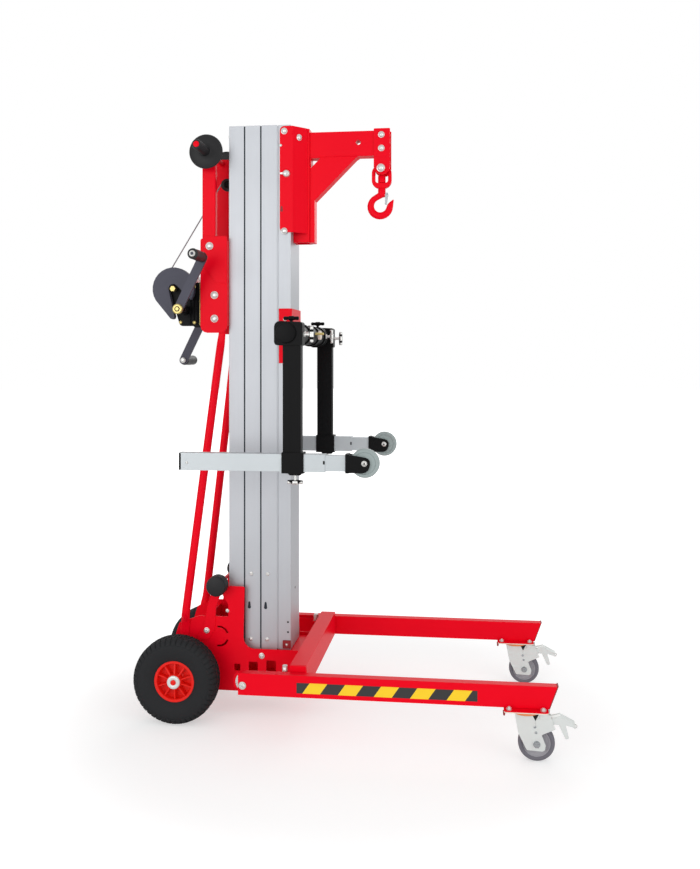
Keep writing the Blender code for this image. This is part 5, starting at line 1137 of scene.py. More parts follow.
@dataclass
class Legs:
    """Folding legs with hazard tape, and the braked swivel casters under their tips."""

    centre_y: float = 310.0
    half_width: float = 15.0
    bottom: float = 144.3
    tape_box: tuple[float, float, float, float] = (396.4, 157.0, 902.0, 186.4)
    kingpin: float = 1033.0
    flange: tuple[float, float] = (60.0, 42.0)
    cheek_y: float = 20.6
    wheel_radius: float = 50.0
    trail: float = 29.0

    def build(self) -> None:
        """Dress both legs and their casters."""
        for name, side in SIDES:
            dressed(f"leg_{name}", RED, f"folding_leg_{name}", 1.2)
            self.tip(name, side)
            self.tape(name, side)
            self.plate(name, side)
            self.fork(name, side)
            self.wheel(name, side)
            self.brake(name, side)

    def tip(self, name: str, side: int) -> None:
        """Close the leg's slanted end with a thin cap in the red's painted shade.

        Args:
            name: Near or far.
            side: Minus one on the near side, one on the far side.
        """
        half, low, high = self.half_width - 0.2, self.bottom + 0.5, 208.4
        outline = [(1095.0, low), (1097.6, low), (1121.2, high), (1118.4, high)]
        cap = slab(outline, 1, -half, half, side * self.centre_y)
        show(f"leg_cap_{name}", cap, RED_DEPTH, f"folding_leg_{name}", 0.3)

    def tape(self, name: str, side: int) -> None:
        """Lay the hazard tape on the leg's outer side.

        Args:
            name: Near or far.
            side: Minus one on the near side, one on the far side.
        """
        outer = self.centre_y + self.half_width
        strip = slab(rectangle(*self.tape_box, 0.6, 2), side, outer, outer + 0.35)
        show(f"tape_{name}", strip, TAPE, f"folding_leg_{name}")

    def plate(self, name: str, side: int) -> None:
        """Make the red flange, the caster's bright plate, the seal ring and the four bolts.

        Args:
            name: Near or far.
            side: Minus one on the near side, one on the far side.
        """
        body = f"folding_leg_{name}"
        x, y = self.kingpin, side * self.centre_y
        long, wide = self.flange
        flange = rectangle(x - long, y - wide, x + long, y + wide, 8)
        show(f"caster_flange_{name}", prism(flange, Axis.Z, 142.2, 144.0), RED, body, 0.3,
             instead=(f"caster_plate_{name}",))
        show(f"caster_top_plate_{name}", prism(flange, Axis.Z, 139.4, 142.2), PLATE, body, 0.3)
        ring = [(24, 131.8), (36.6, 131.8), (38.4, 133.4), (38.4, 138.0), (37, 139.2), (24, 139.2)]
        show(f"seal_ring_{name}", lathe(ring, at(x, y, 0), Axis.Z, 1, 56), SEAL, f"swivel_{name}")
        # The tab is coloured with the red's painted shade.
        tab = rounded([(x - 61.5, 128, 1), (x - 57, 128, 1), (x - 55, 142.4, 0.5), (x - 63, 142.4, 0.5)], 3)
        show(f"flange_tab_{name}", prism(tab, Axis.Y, y - 30, y - 27), RED_DEPTH, body, 0.3)
        seats = [(at(x + dx, y + dy, 144.0), UP) for dx in (-46, 46) for dy in (-29, 29)]
        Repeat.scatter(f"caster_bolts_{name}", FASTENERS.nut(), seats, BOLT, body, 0.85)

    def fork(self, name: str, side: int) -> None:
        """Dress the fork and add its side cheeks with their notches, the rivets and the axle bolt.

        Args:
            name: Near or far.
            side: Minus one on the near side, one on the far side.
        """
        body = f"swivel_{name}"
        x, y, face = self.kingpin, side * self.centre_y, self.cheek_y
        dressed(f"caster_fork_{name}", ZINC, body, 0.8)
        cheek = rounded([(x - 31, 134, 2), (x - 21, 79, 30), (x + 2, 33, 8), (x + 50, 31, 8), (x + 53, 48, 6),
                         (x + 42, 76, 4), (x + 80, 93, 3), (x + 70, 117, 3), (x + 38, 121, 4),
                         (x + 33, 134, 2)])
        show(f"fork_cheeks_{name}", gathered(*both(cheek, face - 1, face, y)), ZINC, body, 0.3)
        # The notches are dark sheets of painted shade on the cheeks.
        notch = [(x + 15, 134), (x + 36, 134), (x + 25, 114)]
        show(f"fork_notches_{name}", gathered(*both(notch, face - 0.1, face + 0.3, y)), HOLLOW, body)
        seats = seated(face, (x + self.trail, self.wheel_radius), middle=y)
        Repeat.scatter(f"caster_axle_bolts_{name}", FASTENERS.hexagon(), seats, STEEL, body, 0.95)
        rivets = seated(face, (x + 24, 97), (x + 27, 82), middle=y)
        Repeat.scatter(f"fork_rivets_{name}", FASTENERS.screw(), rivets, STEEL, body, 0.8)

    def wheel(self, name: str, side: int) -> None:
        """Make the caster's wheel: a grey tread on a paler core.

        Args:
            name: Near or far.
            side: Minus one on the near side, one on the far side.
        """
        body = f"caster_{name}"
        centre = at(self.kingpin + self.trail, side * self.centre_y, self.wheel_radius)
        tread = [(37.4, 11.5), (40, 13.2), (44, 14), (47.6, 12.5), (49.6, 8), (self.wheel_radius, 0)]
        show(f"caster_tread_{name}", lathe(mirrored(tread), centre, steps=72), CASTER_TREAD, body,
             instead=(f"caster_wheel_{name}",))
        core = [(5.6, 14), (13, 14), (14, 13.2), (15.5, 8), (19, 7), (30, 7), (33.5, 8.5), (36, 11.4),
                (38, 11.4)]
        show(f"caster_core_{name}", lathe(mirrored(core), centre, steps=64), CASTER_CORE, body)

    def brake(self, name: str, side: int) -> None:
        """Dress the brake: stamped lever with ribs, a spring wire, and the black shoe over the wheel.

        Args:
            name: Near or far.
            side: Minus one on the near side, one on the far side.
        """
        body = f"brake_{name}"
        x, y = self.kingpin, side * self.centre_y
        dressed(f"caster_brake_{name}", ZINC, body, 0.8)
        outline = rounded([(x + 62, 119, 1), (x + 92, 127.6, 1), (x + 131, 107.8, 1), (x + 130, 105.6, 1),
                           (x + 92, 124, 1), (x + 62, 116, 1)], 2)
        ribs = [slab(outline, 1, dy - 1.8, dy + 1.8, y) for dy in (-11, 11)]
        wall = rounded([(x + 37, 117, 2), (x + 66, 117, 2), (x + 68, 131, 2), (x + 38, 134, 2)], 3)
        show(f"brake_ribs_{name}", gathered(*ribs, *both(wall, 21.2, 22.0, y)), ZINC, body, 0.3)
        bend = [(x + 40, 118), (x + 80, 111.5), (x + 118, 105.5)] + arc(x + 131, 103, 5.5, 150, -170, 12)
        path = [at(u, y - 15, v) for u, v in bend]
        wire = loft(path, [(1.4, 1.4)] * len(path), Vector((0, 1, 0)), 10)
        show(f"brake_wire_{name}", wire, BOLT, body)
        shoe = rounded([(x + 64, 97, 2), (x + 78, 104, 1), (x + 76, 106.2, 1), (x + 63, 106.2, 1)], 3)
        show(f"brake_shoe_{name}", slab(shoe, 1, -12, 12, y), PLASTIC, body, 0.5)


@dataclass
class Mast:
    """Four nested extrusions with their screws and slots, the lift cable and its guide pulley."""

    rear: float = 136.0
    pitch: float = 51.6
    depth: float = 48.6
    face: float = 75.0
    carriage_face: float = 71.5
    foot: float = 200.0
    top: float = 1822.0
    drum: tuple[float, float] = (-38.0, 1318.0)
    guide: tuple[float, float] = (111.0, 1655.0)
    drum_lay: float = 58.5
    guide_lay: float = 18.3
    drum_offset: float = -30.0
    lug_z: float = 446.3
    rope_radius: float = 2.0

    def build(self) -> None:
        """Dress the sections, the carriage, the cable and the pulley."""
        for number, body in enumerate(("base", "stage_2", "stage_3"), 1):
            dressed(f"mast_section_{number}", UPRIGHT, body, 1.2)
            self.details(number, body)
            self.strip(number, body)
        dressed("carriage_profile", UPRIGHT, "carriage", 1.2)
        self.carriage_details()
        self.cable()
        self.pulley()

    def strip(self, number: int, body: str) -> None:
        """Fill the gap in front of a section with strips: painted shade in two gaps, the extrusion's pale
        colour in the third.

        Args:
            number: The section, one at the rear.
            body: The CAD body that it moves with.
        """
        pale = number == 3
        start = self.rear + (number - 1) * self.pitch + self.depth
        low, high = self.foot + (0 if number == 1 else 2), self.top
        outline = [(start - 1.4, low), (start + 2.7, low), (start + 2.7, high), (start - 1.4, high)]
        # The dark strips are painted shade in two gaps; the third gap is filled with the extrusion's own
        # colour.
        strips = both(outline, 70.0, self.face - 1.0 if pale else self.face + 0.15)
        show(f"glide_strips_{number}", gathered(*strips), UPRIGHT if pale else SHADE, body)

    def details(self, number: int, body: str) -> None:
        """Add the bolts, screws and keyhole slots of one section on both faces.

        Args:
            number: The section, one at the rear.
            body: The CAD body that it moves with.
        """
        if number == 1:
            seats = [(at(self.rear, side * 62, 1794), REAR) for _, side in SIDES]
            Repeat.scatter("mast_top_screws", FASTENERS.hexagon(), seats, BOLT, body, 0.55)
            return
        x = self.rear + (number - 1) * self.pitch + 18
        Repeat.scatter(f"section_bolts_{number}", FASTENERS.button(), seated(self.face, (x, 229)), BOLT, body,
                       0.6)
        Repeat.scatter(f"section_screws_{number}", FASTENERS.screw(), seated(self.face, (x + 2, 432)), BOLT,
                       body,
                       1.35)
        # The slots are sheets of painted shade on both faces.
        slots = both(keyhole(x - 5, 342, 328, 3.2, 5.2), self.face, self.face + PROUD_MM)
        show(f"section_slots_{number}", gathered(*slots), SHADE, body)

    def carriage_details(self) -> None:
        """Add the holes and the lock blocks at the carriage's foot."""
        face = self.carriage_face
        # The holes are dark discs of painted shade.
        holes = [hole for z in (284, 253) for hole in both(disc_outline(322, z, 3.0, 20), face,
                                                           face + PROUD_MM)]
        holes.append(prism(disc_outline(0, 375, 4.0, 20), Axis.X, 330.9, 331.25))
        show("carriage_holes", gathered(*holes), HOLLOW, "carriage")
        # The lock blocks are coloured with the red's painted shade.
        blocks = both(rectangle(306, 203, 331, 228, 2), face + 0.1, face + 4.5)
        show("carriage_lock_blocks", gathered(*blocks), RED_DEPTH, "carriage", 0.5)
        Repeat.scatter("carriage_lock_screws", FASTENERS.screw(), seated(face + 4.5, (319, 215)), BOLT,
                       "carriage",
                       0.9)

    def cable(self) -> None:
        """Make the lift cable: off the drum, over the guide pulley, down the mast's rear to its lug."""
        drum, pulley = Vector(self.drum), Vector(self.guide)
        lay, wrap = self.drum_lay, self.guide_lay
        between = pulley - drum
        heading = math.atan2(between.y, between.x) - math.asin((lay - wrap) / between.length)
        normal = Vector((-math.sin(heading), math.cos(heading)))
        start, meet = drum + normal * lay, pulley + normal * wrap
        route = []
        for share in (i / 12 for i in range(12)):
            point = start.lerp(meet, share)
            route.append(at(point.x, self.drum_offset * (1 - share), point.y))
        route += [at(u, 0, v) for u, v in arc(pulley.x, pulley.y, wrap, math.degrees(heading) + 90, 0, 12)]
        down_x, high = self.guide[0] + wrap, self.guide[1]
        route += [at(down_x, 0, high - (high - self.lug_z) * i / 14) for i in range(1, 15)]
        bm = loft(route, [(self.rope_radius, self.rope_radius)] * len(route), Vector((0, 1, 0)), 12)
        layer = bm.loops.layers.uv.new("rope")
        for loop in (loop for face in bm.faces for loop in face.loops):
            place = loop.vert.co
            loop[layer].uv = (place.z * 180, place.x * 180 + place.y * 180)
        show("lift_cable_rope", bm, ROPE, "base", instead=("lift_cable",))

    def pulley(self) -> None:
        """Dress the guide pulley and its bracket."""
        half = [(4.5, 6), (18.6, 6), (20, 5.4), (20, 4.2), (16.6, 1.6), (16, 0.6)]
        centre = at(self.guide[0], 0, self.guide[1])
        show("guide_pulley_turned", lathe(mirrored(half), centre, steps=40), PLASTIC, "pulley",
             instead=("guide_pulley",))
        dressed("pulley_bracket", BLACK, "base", 0.5)


@dataclass
class WinchAndHandle:
    """Bracket, push handle, winch with its gears, and the double crank."""

    drum: tuple[float, float] = (-38.0, 1318.0)
    winding: tuple[float, float] = (-54.0, 63.0)
    turns: int = 26
    crank_centre: tuple[float, float] = (-3.37, 1251.47)
    crank_reach: float = 175.0
    lean_degrees: float = 26.0
    grip_start: float = 154.3
    grip_length: float = 103.4
    handle: tuple[float, float] = (75.5, 1737.0)
    guard_y: float = 118.0

    def build(self) -> None:
        """Dress the bracket, the handle and the winch."""
        dressed("winch_bracket", RED, "base", 1.0)
        dressed("handle_frame", RED, "base", 1.0)
        self.bracket_bolts()
        self.frame()
        self.drum_and_gears()
        self.crank()
        for name, side in SIDES:
            self.handle_grip(name, side)
            self.crank_grip(name, side)

    def bracket_bolts(self) -> None:
        """Set the three bolts on each side of the bracket."""
        seats = seated(99, (80, 1449)) + seated(96, (95, 1297), (95, 1224))
        Repeat.scatter("bracket_bolts", FASTENERS.button(), seats, BOLT, "base", 1.2)

    def frame(self) -> None:
        """Dress the winch's frame with its ribs, bolts and gear cover."""
        dressed("winch_frame", BLACK, "base", 0.8)
        dressed("winch_cover", SLATE, "base", 1.0)
        ribs = [rib for x in (10.0, 21.0, 33.0) for rib in both(rectangle(x, 1206, x + 3, 1334, 1, 2), 74,
                                                                79)]
        show("winch_frame_ribs", gathered(*ribs), BLACK, "base", 0.4)
        edges = [edge for x in (45.7, 48.1)
                 for edge in both([(x, 1204), (x + 1, 1204), (x + 1, 1336), (x, 1336)], 88, 88.6)]
        show("winch_frame_edges", gathered(*edges), YELLOW_ZINC, "base")
        corners = seated(79, (26, 1325), (26, 1213)) + seated(74.2, (-20, 1214))
        Repeat.scatter("winch_frame_screws", FASTENERS.screw(), corners, YELLOW_ZINC, "base", 1.25)

    def drum_and_gears(self) -> None:
        """Finish the drum, the gears, the wound cable and the drum's bolt."""
        centre = at(self.drum[0], 0, self.drum[1])
        coat(ZINC, "drum", "crank_pinion")
        first, last = self.winding
        width = (last - first) / self.turns
        profile = [(24.4, first)]
        for i in range(self.turns):
            profile += [(radius, first + width * (i + share)) for radius, share in (
                (54.4, 0.05), (55.6, 0.3), (55.6, 0.7), (54.4, 0.95))]
        profile.append((24.4, last))
        wound = show("wound_cable_turns", lathe(profile, centre, steps=48), BOLT, "drum",
                     instead=("wound_cable",))
        wound.data.set_sharp_from_angle(angle=math.radians(80))
        bolt = [(0, -101.6), (8.6, -101.6), (9.6, -100.6), (9.9, -95), (7, -95), (7, 74.4), (12, 74.4),
                (12, 81),
                (10, 82), (0, 82)]
        show("drum_bolt_turned", lathe(bolt, centre, Axis.Y, 1, 6), YELLOW_ZINC, "base", 0.4,
             instead=("drum_bolt",))

    def arm_end(self, side: int) -> tuple[float, float]:
        """Find the outer end of a crank arm; the two arms point opposite ways.

        Args:
            side: Minus one on the near side, one on the far side.

        Returns:
            Its x and z in millimetres.
        """
        lean = math.radians(self.lean_degrees)
        reach = -side * self.crank_reach
        return (self.crank_centre[0] + reach * math.sin(lean), self.crank_centre[1] + reach * math.cos(lean))

    def crank(self) -> None:
        """Dress the crank: slate arms, black collars, bright ring nuts and stud ends."""
        dressed("crank", SLATE, "crank", 0.8)
        middle = at(self.crank_centre[0], 0, self.crank_centre[1])
        ring = [(7.4, 153.5), (15.4, 153.5), (15.4, 161), (12.6, 163.6), (8.4, 163.6), (7.4, 161)]
        nut = [(0, 158), (6.6, 158), (6.6, 164.5), (5.4, 165.5), (0, 165.5)]
        bright = both_turned(ring, middle, 40) + both_turned(nut, middle, 6)
        show("crank_ring_nuts", gathered(*bright), YELLOW_ZINC, "crank", sharp=30)
        collar = [(8.2, 84), (14.9, 84), (14.9, 122), (13.4, 124), (14.9, 126), (14.9, 145.6), (8.2, 145.6)]
        show("crank_collars", gathered(*both_turned(collar, middle, 40)), BLACK, "crank")
        outer = [(0, 257.8), (9.4, 257.8), (9.4, 260.4), (8, 262.6), (5.2, 263.4), (4.6, 262.8), (4.4, 260),
                 (0, 260)]
        inner = [(0, 145.8), (9, 145.8), (9.4, 144.8), (9.2, 139.6), (6, 137.6), (0, 137.2)]
        heads = []
        for _, side in SIDES:
            x, z = self.arm_end(side)
            heads += [lathe(profile, at(x, 0, z), Axis.Y, side, 28) for profile in (outer, inner)]
        show("crank_stud_heads", gathered(*heads), BOLT, "crank", sharp=30)

    def crank_grip(self, name: str, side: int) -> None:
        """Make one free-turning grip with a barrel shape and end beads.

        Args:
            name: Near or far.
            side: Minus one on the near side, one on the far side.
        """
        x, z = self.arm_end(side)
        start, stop = self.grip_start, self.grip_start + self.grip_length
        profile = [(5.5, start), (13.6, start), (15.6, start + 1.6), (16.2, start + 5), (15.2, start + 8),
                   (16.1, start + 30), (16.5, start + 52), (16.1, stop - 30), (15.4, stop - 8),
                   (16.2, stop - 5),
                   (15.6, stop - 2), (12.4, stop), (5.5, stop)]
        show(f"crank_grip_turned_{name}", lathe(profile, at(x, 0, z), Axis.Y, side, 48), PLASTIC,
             f"crank_knob_{name}", instead=(f"crank_grip_{name}",))

    def handle_grip(self, name: str, side: int) -> None:
        """Make one rubber grip with its guard disc, ribs and end plug.

        Args:
            name: Near or far.
            side: Minus one on the near side, one on the far side.
        """
        y = self.guard_y
        end = y + 108
        profile = [(8.8, y), (44, y), (50, y + 0.8), (52.6, y + 2.6), (53, y + 4.5), (52, y + 6.6),
                   (47, y + 8.6),
                   (40, y + 11.4), (28, y + 12.6), (20, y + 13.4), (16.4, y + 16), (14.8, y + 21)]
        for i in range(9):
            start = y + 24 + i * 8.6
            profile += [(14.4, start), (15.3, start + 1.4), (15.3, start + 5.4), (14.4, start + 6.8)]
        profile += [(15.2, end - 7), (15.2, end - 4), (13.8, end - 1), (11, end), (8.8, end)]
        centre = at(self.handle[0], 0, self.handle[1])
        show(f"handle_grip_turned_{name}", lathe(profile, centre, Axis.Y, side, 56), GRIP, "base",
             instead=(f"handle_grip_{name}",))
        plug = [(0, end + 1), (8.9, end + 1), (8.9, end + 1.9), (7.6, end + 2.6), (0, end + 2.9)]
        show(f"handle_plug_{name}", lathe(plug, centre, Axis.Y, side, 32), RED, "base")


@dataclass
class Jib:
    """Bracket on the carriage, boom with gusset and hanger, bail, hook and latch."""

    cheek_y: float = 75.8
    hanger_y: float = 26.0
    weld_y: float = 22.4
    pin: tuple[float, float] = (607.0, 1691.0)
    stem_x: float = 607.0
    bowl: tuple[float, float] = (602.0, 1577.0)
    bowl_radius: float = 30.0
    boom_low: float = 1732.0
    latch_pin: tuple[float, float] = (622.7, 1614.0)

    def build(self) -> None:
        """Dress the jib and its hook."""
        dressed("jib_bracket", RED, "carriage", 1.0)
        dressed("jib_boom", RED, "carriage", 1.2)
        self.bolts()
        self.welds()
        self.bail()
        self.hook()
        self.latch()

    def bolts(self) -> None:
        """Set the bolts of bracket and hanger, the T pin and the keyhole."""
        face = self.cheek_y
        large = seated(face, (311, 1804), (311, 1495)) + seated(self.hanger_y, (608, 1796), (608, 1754))
        large += [(at(354.6, side * 57.6, 1787), Vector((0.731, side * 0.682, 0))) for _, side in SIDES]
        Repeat.scatter("jib_bolts", FASTENERS.button(), large, BOLT, "carriage", 1.0)
        Repeat.scatter("jib_screws", FASTENERS.screw(), seated(face, (300, 1760)), BOLT, "carriage", 1.0)
        Repeat.scatter("bail_pin_nuts", FASTENERS.button(), seated(33.4, self.pin), BOLT, "carriage", 1.25)
        knob = [(0, 75.4), (11, 75.4), (11.5, 76.4), (11.5, 80), (9, 84), (4, 86), (0, 86.2)]
        bars = both(rectangle(298, 1670.0, 320, 1675.6, 2.6), 75.6, 80)
        show("jib_t_pins", gathered(*both_turned(knob, at(318, 0, 1672), 28), *bars), BOLT, "carriage", 0.4)
        # The keyholes are sheets of the red's painted shade on the cheeks.
        holes = both(keyhole(303, 1570, 1559, 2.6, 4.4), face, face + PROUD_MM)
        show("jib_keyholes", gathered(*holes), RED_DEPTH, "carriage")

    def welds(self) -> None:
        """Lay weld beads along the joints of boom and post, as a row of overlapping scales."""
        beads = []
        for _, side in SIDES:
            y = side * self.weld_y
            rows = [([at(382.6, y, z) for z in range(low, high, 3)], 1.5, 0.5)
                    for low, high in ((1604, 1706), (1738, 1800))]
            rows.append(([at(x, y, self.boom_low) for x in range(405, 536, 3)], 1.3, 0.4))
            for path, thin, swell in rows:
                halves = [(thin + swell * (i % 2),) * 2 for i in range(len(path))]
                beads.append(loft(path, halves, Vector((0, 1, 0)), 8))
        show("jib_welds", gathered(*beads), RED, "carriage", sharp=60)

    def bail(self) -> None:
        """Make the swivel bail from a rounded bar bent to a closed link."""
        x, z = self.pin
        top = z + 16.3
        outer = rounded([(x - 31, 1632, 25), (x + 31, 1632, 25), (x + 31, top, 28), (x - 31, top, 28)], 10)
        inner = rounded([(x - 20, 1650, 8), (x + 20, 1650, 8), (x + 20, z + 7.3, 17), (x - 20, z + 7.3, 17)],
                        10)
        link = prism(outer, Axis.Y, -9, 9, [inner])
        show("hook_bail_link", link, RED, "bail", 3.2, instead=("hook_bail",))

    def hook(self) -> None:
        """Make the forged hook: collar, stem with nut, and a tapered bowl with a raised tip."""
        x = self.stem_x
        bx, bz = self.bowl
        stem = lathe([(0, 1606), (9.5, 1606), (11, 1608), (12, 1614), (12, 1630.4), (11, 1631.7), (7, 1631.7),
                      (7, 1650.3), (12, 1650.3), (12, 1670.6), (11, 1671.8), (0, 1672.2)], at(x, 0, 0),
                      Axis.Z, 1, 40)
        angles = (118, 133, 148, 163, 178, 193, 208, 223, 238, 253, 268, 283, 298, 312, 325, 337, 348)
        widths = (9.3, 9.5, 9.9, 10.3, 10.6, 10.8, 11, 11.2, 11.3, 11.3, 11.3, 11.2, 11.1, 11, 10.8, 10.6,
                  10.3)
        depths = (9, 8.8, 8.5, 8.5, 8.5, 8.7, 9, 9.3, 9.5, 9.6, 9.5, 9.1, 8.7, 8.2, 7.8, 7.4, 7)
        path = [at(x - 1, 0, 1613.7)]
        for turn in map(math.radians, angles):
            path.append(at(bx + self.bowl_radius * math.cos(turn), 0, bz + self.bowl_radius * math.sin(turn)))
        path += [at(bx + 31.5, 0, bz + 2), at(bx + 35, 0, bz + 9), at(bx + 38.6, 0, bz + 15),
                 at(bx + 41.4, 0, bz + 20)]
        halves = [(10.0, 10.0), *zip(widths, depths), (9.6, 6.4), (7, 5), (4, 3.4), (1.4, 1.4)]
        bowl = loft(path, halves, Vector((0, 1, 0)), 24)
        show("hook_forged", gathered(stem, bowl), RED, "swivel_hook", sharp=50, instead=("hook",))

    def latch(self) -> None:
        """Make the spring latch: a bent bright strip on a pin beside the neck."""
        x, z = self.latch_pin
        strip = arc(x, z, 5.4, 0, 180, 13) + [(617.4, 1600), (616.6, 1583), (623.6, 1582), (626.4, 1600)]
        pin = lathe([(0, -7), (2.2, -7), (2.2, 7), (0, 7)], at(x, 0, z), Axis.Y, 1, 16)
        show("hook_latch_strip", gathered(prism(strip, Axis.Y, -4.5, 4.5), pin), STEEL, "latch", 0.4,
             instead=("hook_latch",))


@dataclass
class RollerArms:
    """Clip, cross bar, posts, clamps, sliding arms, forks and rollers."""

    bar: tuple[float, float] = (364.6, 1173.0)
    bar_radius: float = 29.0
    post_y: float = 300.0
    roller: tuple[float, float] = (588.0, 806.0)
    arm_rear: float = 55.0
    roller_radius: float = 41.5

    def build(self) -> None:
        """Dress the roller arms."""
        dressed("roller_clip", RED, "carriage", 0.6)
        seats = seated(75.8, (314, 1222), (314, 1120))
        Repeat.scatter("clip_screws", FASTENERS.button(), seats, BOLT, "carriage", 0.6)
        self.cross_bar()
        for name, side in SIDES:
            dressed(f"post_{name}", BLACK, "carriage", 1.0)
            self.clamp(name, side)
            self.arm(name, side)
            self.roller_wheel(name, side)

    def cross_bar(self) -> None:
        """Make the bar with its end caps, collars, lock knob and lock pin."""
        x, z = self.bar
        radius = self.bar_radius
        half = [(0, 329), (20, 329), (27, 327.6), (radius, 325), (radius, 318.6), (radius - 0.7, 318),
                (radius - 0.7, 317.4), (radius, 316.8)]
        show("cross_bar_turned", lathe(mirrored(half), at(x, 0, z), steps=64), BLACK, "carriage",
             instead=("cross_bar",))
        collars = []
        for start in (-252, -216, -92, 72, 196, 232):
            ring = [(28.8, start), (33, start), (34, start + 1), (34, start + 19), (33, start + 20),
                    (28.8, start + 20)]
            collars.append(lathe(ring, at(x, 0, z), steps=48))
        show("cross_bar_collars", gathered(*collars), BLACK, "carriage")
        knob = [(0, 0), (9, 0), (13, 1.5), (14, 4), (14, 9), (12.6, 11), (0, 12)]
        show("bar_lock_knob", lathe(knob, at(x + 33, 40, 1174), Axis.X, 1, 36), PLATE, "carriage")
        pin = [(0, 0), (4, 0), (4, 26), (3, 27.5), (0, 27.5)]
        show("bar_lock_pin", lathe(pin, at(x + 31, 0, 1178), Axis.X, 1, 20), YELLOW_ZINC, "carriage")

    def wing(self, place: Vector, axis: Axis, way: int, reach: float) -> Solid:
        """Make a clamping screw with a cross handle whose ends are rounded.

        Args:
            place: Where the screw leaves its tube, in metres.
            axis: Direction of the screw.
            way: One, or minus one to run against the axis.
            reach: Length from the tube to the handle's middle, in millimetres.

        Returns:
            The screw and its handle.
        """
        screw = lathe([(0, 0), (7.4, 0), (7.4, 5), (6.4, 6), (4.2, 6), (4.2, reach), (0, reach)], place, axis,
                      way, 24)
        middle = place + Vector(axis.value) * way * (reach * MM)
        cross = Axis.X if axis is Axis.Z else Axis.Z
        half = [(0, 23), (3.6, 22.6), (5.2, 21), (5.6, 18), (5, 9), (6.8, 6.5), (6.8, 0)]
        return gathered(screw, lathe(mirrored(half), middle, cross, 1, 24))

    def clamp(self, name: str, side: int) -> None:
        """Set the bright clamping screws of one post and of the bar beside it.

        Args:
            name: Near or far.
            side: Minus one on the near side, one on the far side.
        """
        y = side * self.post_y
        bar_x = self.bar[0]
        wings = [self.wing(at(388, y, 775.4), Axis.Z, -1, 27), self.wing(at(411, y, 1169), Axis.X, 1, 24),
                 self.wing(at(bar_x + 31, side * 205, 1174), Axis.X, 1, 22)]
        show(f"clamp_screws_{name}", gathered(*wings), BOLT, "carriage")
        top = self.wing(at(bar_x, side * 238, 1200), Axis.Z, 1, 18)
        show(f"bar_screw_{name}", top, BLACK, "carriage")
        pad = rounded([(374, 769, 2), (404, 769, 2), (408, 774.8, 1), (368, 774.8, 1)])
        show(f"sleeve_pad_{name}", slab(pad, 1, -12, 12, y), BLACK, "carriage", 0.6)

    def arm(self, name: str, side: int) -> None:
        """Dress one sliding arm with its end cap and a patch of painted shade at the seam of the inner tube.

        Args:
            name: Near or far.
            side: Minus one on the near side, one on the far side.
        """
        body = f"sliding_arm_{name}"
        y, rear = side * self.post_y, self.arm_rear
        dressed(f"arm_{name}", LEVEL, body, 0.9)
        cap = rectangle(y - 17.2, 779.8, y + 17.2, 830.2, 3)
        show(f"arm_cap_{name}", prism(cap, Axis.X, rear - 4.0, rear + 2.6), BLACK, body, 0.8)
        plug = seated(17, (rear + 20, 802), middle=y)
        Repeat.scatter(f"arm_plug_screws_{name}", FASTENERS.screw(), plug, BOLT, body, 0.9)
        dressed(f"roller_fork_{name}", BLACK, body, 0.9)
        # A dark patch of painted shade at the seam, on both faces.
        seam_shade = both(rectangle(470.5, 802, 475.8, 812, 1, 3), 16.9, 17.15, y)
        show(f"arm_marks_{name}", gathered(*seam_shade), HOLLOW, body)

    def roller_wheel(self, name: str, side: int) -> None:
        """Make one roller and the screws of its axle.

        Args:
            name: Near or far.
            side: Minus one on the near side, one on the far side.
        """
        x, z = self.roller
        y = side * self.post_y
        half = [(5.5, 13), (17, 13), (18.5, 11), (30, 10.5), (32, 12.4), (37.5, 13), (40.4, 10.5),
                (self.roller_radius, 6)]
        show(f"roller_turned_{name}", lathe(mirrored(half), at(x, y, z), steps=72), ROLLER, f"roller_{name}",
             instead=(f"arm_roller_{name}",))
        seats = seated(19, (x, z), middle=y)
        Repeat.scatter(f"roller_axle_screws_{name}", FASTENERS.button(), seats, BOLT, f"sliding_arm_{name}",
                       0.8)


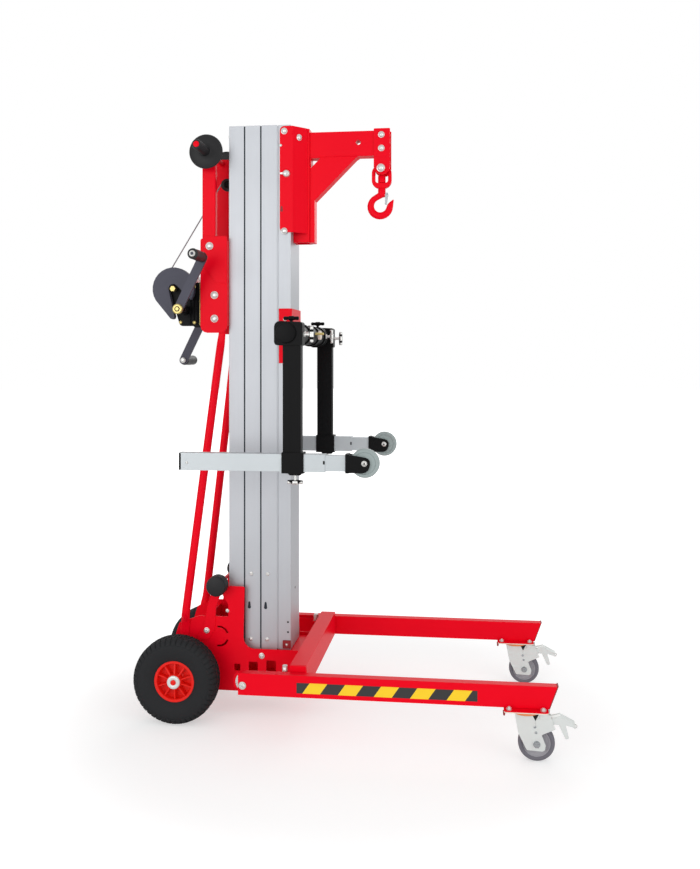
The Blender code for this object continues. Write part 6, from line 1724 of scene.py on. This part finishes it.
@dataclass
class Studio:
    """White floor and background, soft lamps, and the camera at the photograph's angle."""

    eye: tuple[float, float, float] = (0.3674, -2.9336, 1.105)
    turn_degrees: float = 7.36
    lens: float = 38.94
    shift_y: float = -0.0892
    sensor: float = 36.0
    soft_light: float = 0.62
    mirrored_light: float = 0.85
    floor_radius: float = 30.0
    floor_fade: tuple[float, float] = (0.7, 1.6)
    floor_glow: float = 1.5
    aim: tuple[float, float, float] = (0.0, 0.0, 0.8)

    def build(self) -> None:
        """Build world, floor, lamps and camera."""
        self.world()
        self.floor()
        self.lamp("key", (-2.6, -5.8, 1.7), 4.0, 110.0)
        self.lamp("fill", (3.8, -3.2, 1.5), 3.4, 60.0)
        self.lamp("back", (0.6, 4.0, 3.2), 3.0, 35.0)
        self.camera()

    def world(self) -> None:
        """Light softly, and show plain white to the camera and in reflections."""
        world = bpy.data.worlds.new("white_studio")
        bpy.context.scene.world = world
        world.use_nodes = True
        tree = world.node_tree
        tree.nodes.clear()
        rays = add(tree, "ShaderNodeLightPath")
        direct = add(tree, "ShaderNodeMath", {"operation": "MAXIMUM"}, {
            0: rays.outputs["Is Camera Ray"], 1: rays.outputs["Is Transmission Ray"]})
        soft, mirror, plain = (add(tree, "ShaderNodeBackground", {}, {0: (1.0, 1.0, 1.0, 1.0), 1: strength})
                               for strength in (self.soft_light, self.mirrored_light, 1.0))
        first = add(tree, "ShaderNodeMixShader", {}, {
            0: rays.outputs["Is Glossy Ray"], 1: soft.outputs[0], 2: mirror.outputs[0]})
        second = add(tree, "ShaderNodeMixShader", {},
                     {0: direct.outputs[0], 1: first.outputs[0], 2: plain.outputs[0]})
        add(tree, "ShaderNodeOutputWorld", {}, {0: second.outputs[0]})

    def floor(self) -> None:
        """Lay the floor; away from the object it turns to the background's white."""
        bm = bmesh.new()
        bmesh.ops.create_circle(bm, cap_ends=True, segments=64, radius=self.floor_radius)
        mesh = mesh_of("floor", bm)
        material = bpy.data.materials.new("matt_white_floor")
        material.use_nodes = True
        tree = material.node_tree
        shader = tree.nodes["Principled BSDF"]
        shader.inputs["Base Color"].default_value = (0.92, 0.92, 0.92, 1.0)
        shader.inputs["Roughness"].default_value = 0.9
        shader.inputs["Specular IOR Level"].default_value = 0.1
        output = tree.nodes["Material Output"]
        place = add(tree, "ShaderNodeTexCoord")
        reach = add(tree, "ShaderNodeVectorMath", {"operation": "LENGTH"}, {0: place.outputs["Object"]})
        fade = add(tree, "ShaderNodeMapRange", {"interpolation_type": "SMOOTHSTEP"}, {
            0: reach.outputs["Value"], 1: self.floor_fade[0], 2: self.floor_fade[1], 3: 0.33, 4: 1.0})
        rays = add(tree, "ShaderNodeLightPath")
        seen = add(tree, "ShaderNodeMath", {"operation": "MULTIPLY"}, {
            0: fade.outputs[0], 1: rays.outputs["Is Camera Ray"]})
        glow = add(tree, "ShaderNodeEmission", {}, {0: (1.0, 1.0, 1.0, 1.0), 1: self.floor_glow})
        mix = add(tree, "ShaderNodeMixShader", {},
                  {0: seen.outputs[0], 1: shader.outputs[0], 2: glow.outputs[0]})
        tree.links.new(mix.outputs[0], output.inputs[0])
        mesh.materials.append(material)
        obj = bpy.data.objects.new("floor", mesh)
        bpy.context.collection.objects.link(obj)

    def lamp(self, name: str, place: tuple[float, float, float], size: float, power: float) -> None:
        """Hang a square soft lamp that faces the object.

        Args:
            name: Name of the lamp.
            place: Where it hangs, in metres.
            size: Length of its side.
            power: Its power in watts.
        """
        data = bpy.data.lights.new(name, "AREA")
        data.shape = "SQUARE"
        data.size = size
        data.energy = power
        obj = bpy.data.objects.new(name, data)
        obj.location = place
        obj.rotation_euler = (Vector(self.aim) - Vector(place)).to_track_quat("-Z", "Y").to_euler()
        bpy.context.collection.objects.link(obj)

    def camera(self) -> None:
        """Place the camera that matches the photograph, a 700 by 869 image."""
        data = bpy.data.cameras.new("photograph")
        data.lens = self.lens
        data.sensor_width = self.sensor
        data.shift_y = self.shift_y
        data.clip_end = 100.0
        obj = bpy.data.objects.new("photograph", data)
        obj.location = self.eye
        obj.rotation_euler = (math.radians(90), 0.0, math.radians(self.turn_degrees))
        bpy.context.collection.objects.link(obj)
        bpy.context.scene.camera = obj


def write_sizes() -> None:
    """Define a helper that turns a box's corners to plain lists; nothing is written or compared."""
    def plain(corners: Iterable[Iterable[float]]) -> list[list[float]]:
        """Turn a box's corners to plain lists."""
        return [[float(value) for value in corner] for corner in corners]


def main() -> None:
    """Build the sub-assemblies in order."""
    logging.basicConfig(level=logging.INFO, format="%(message)s")
    bpy.context.scene.view_settings.view_transform = "Standard"
    for assembly in (RearWheels(), Base(), Legs(), Mast(), WinchAndHandle(), Jib(), RollerArms(), Studio()):
        LOG.info("building %s", type(assembly).__name__)
        assembly.build()
    write_sizes()


if __name__ == "__main__":
    main()
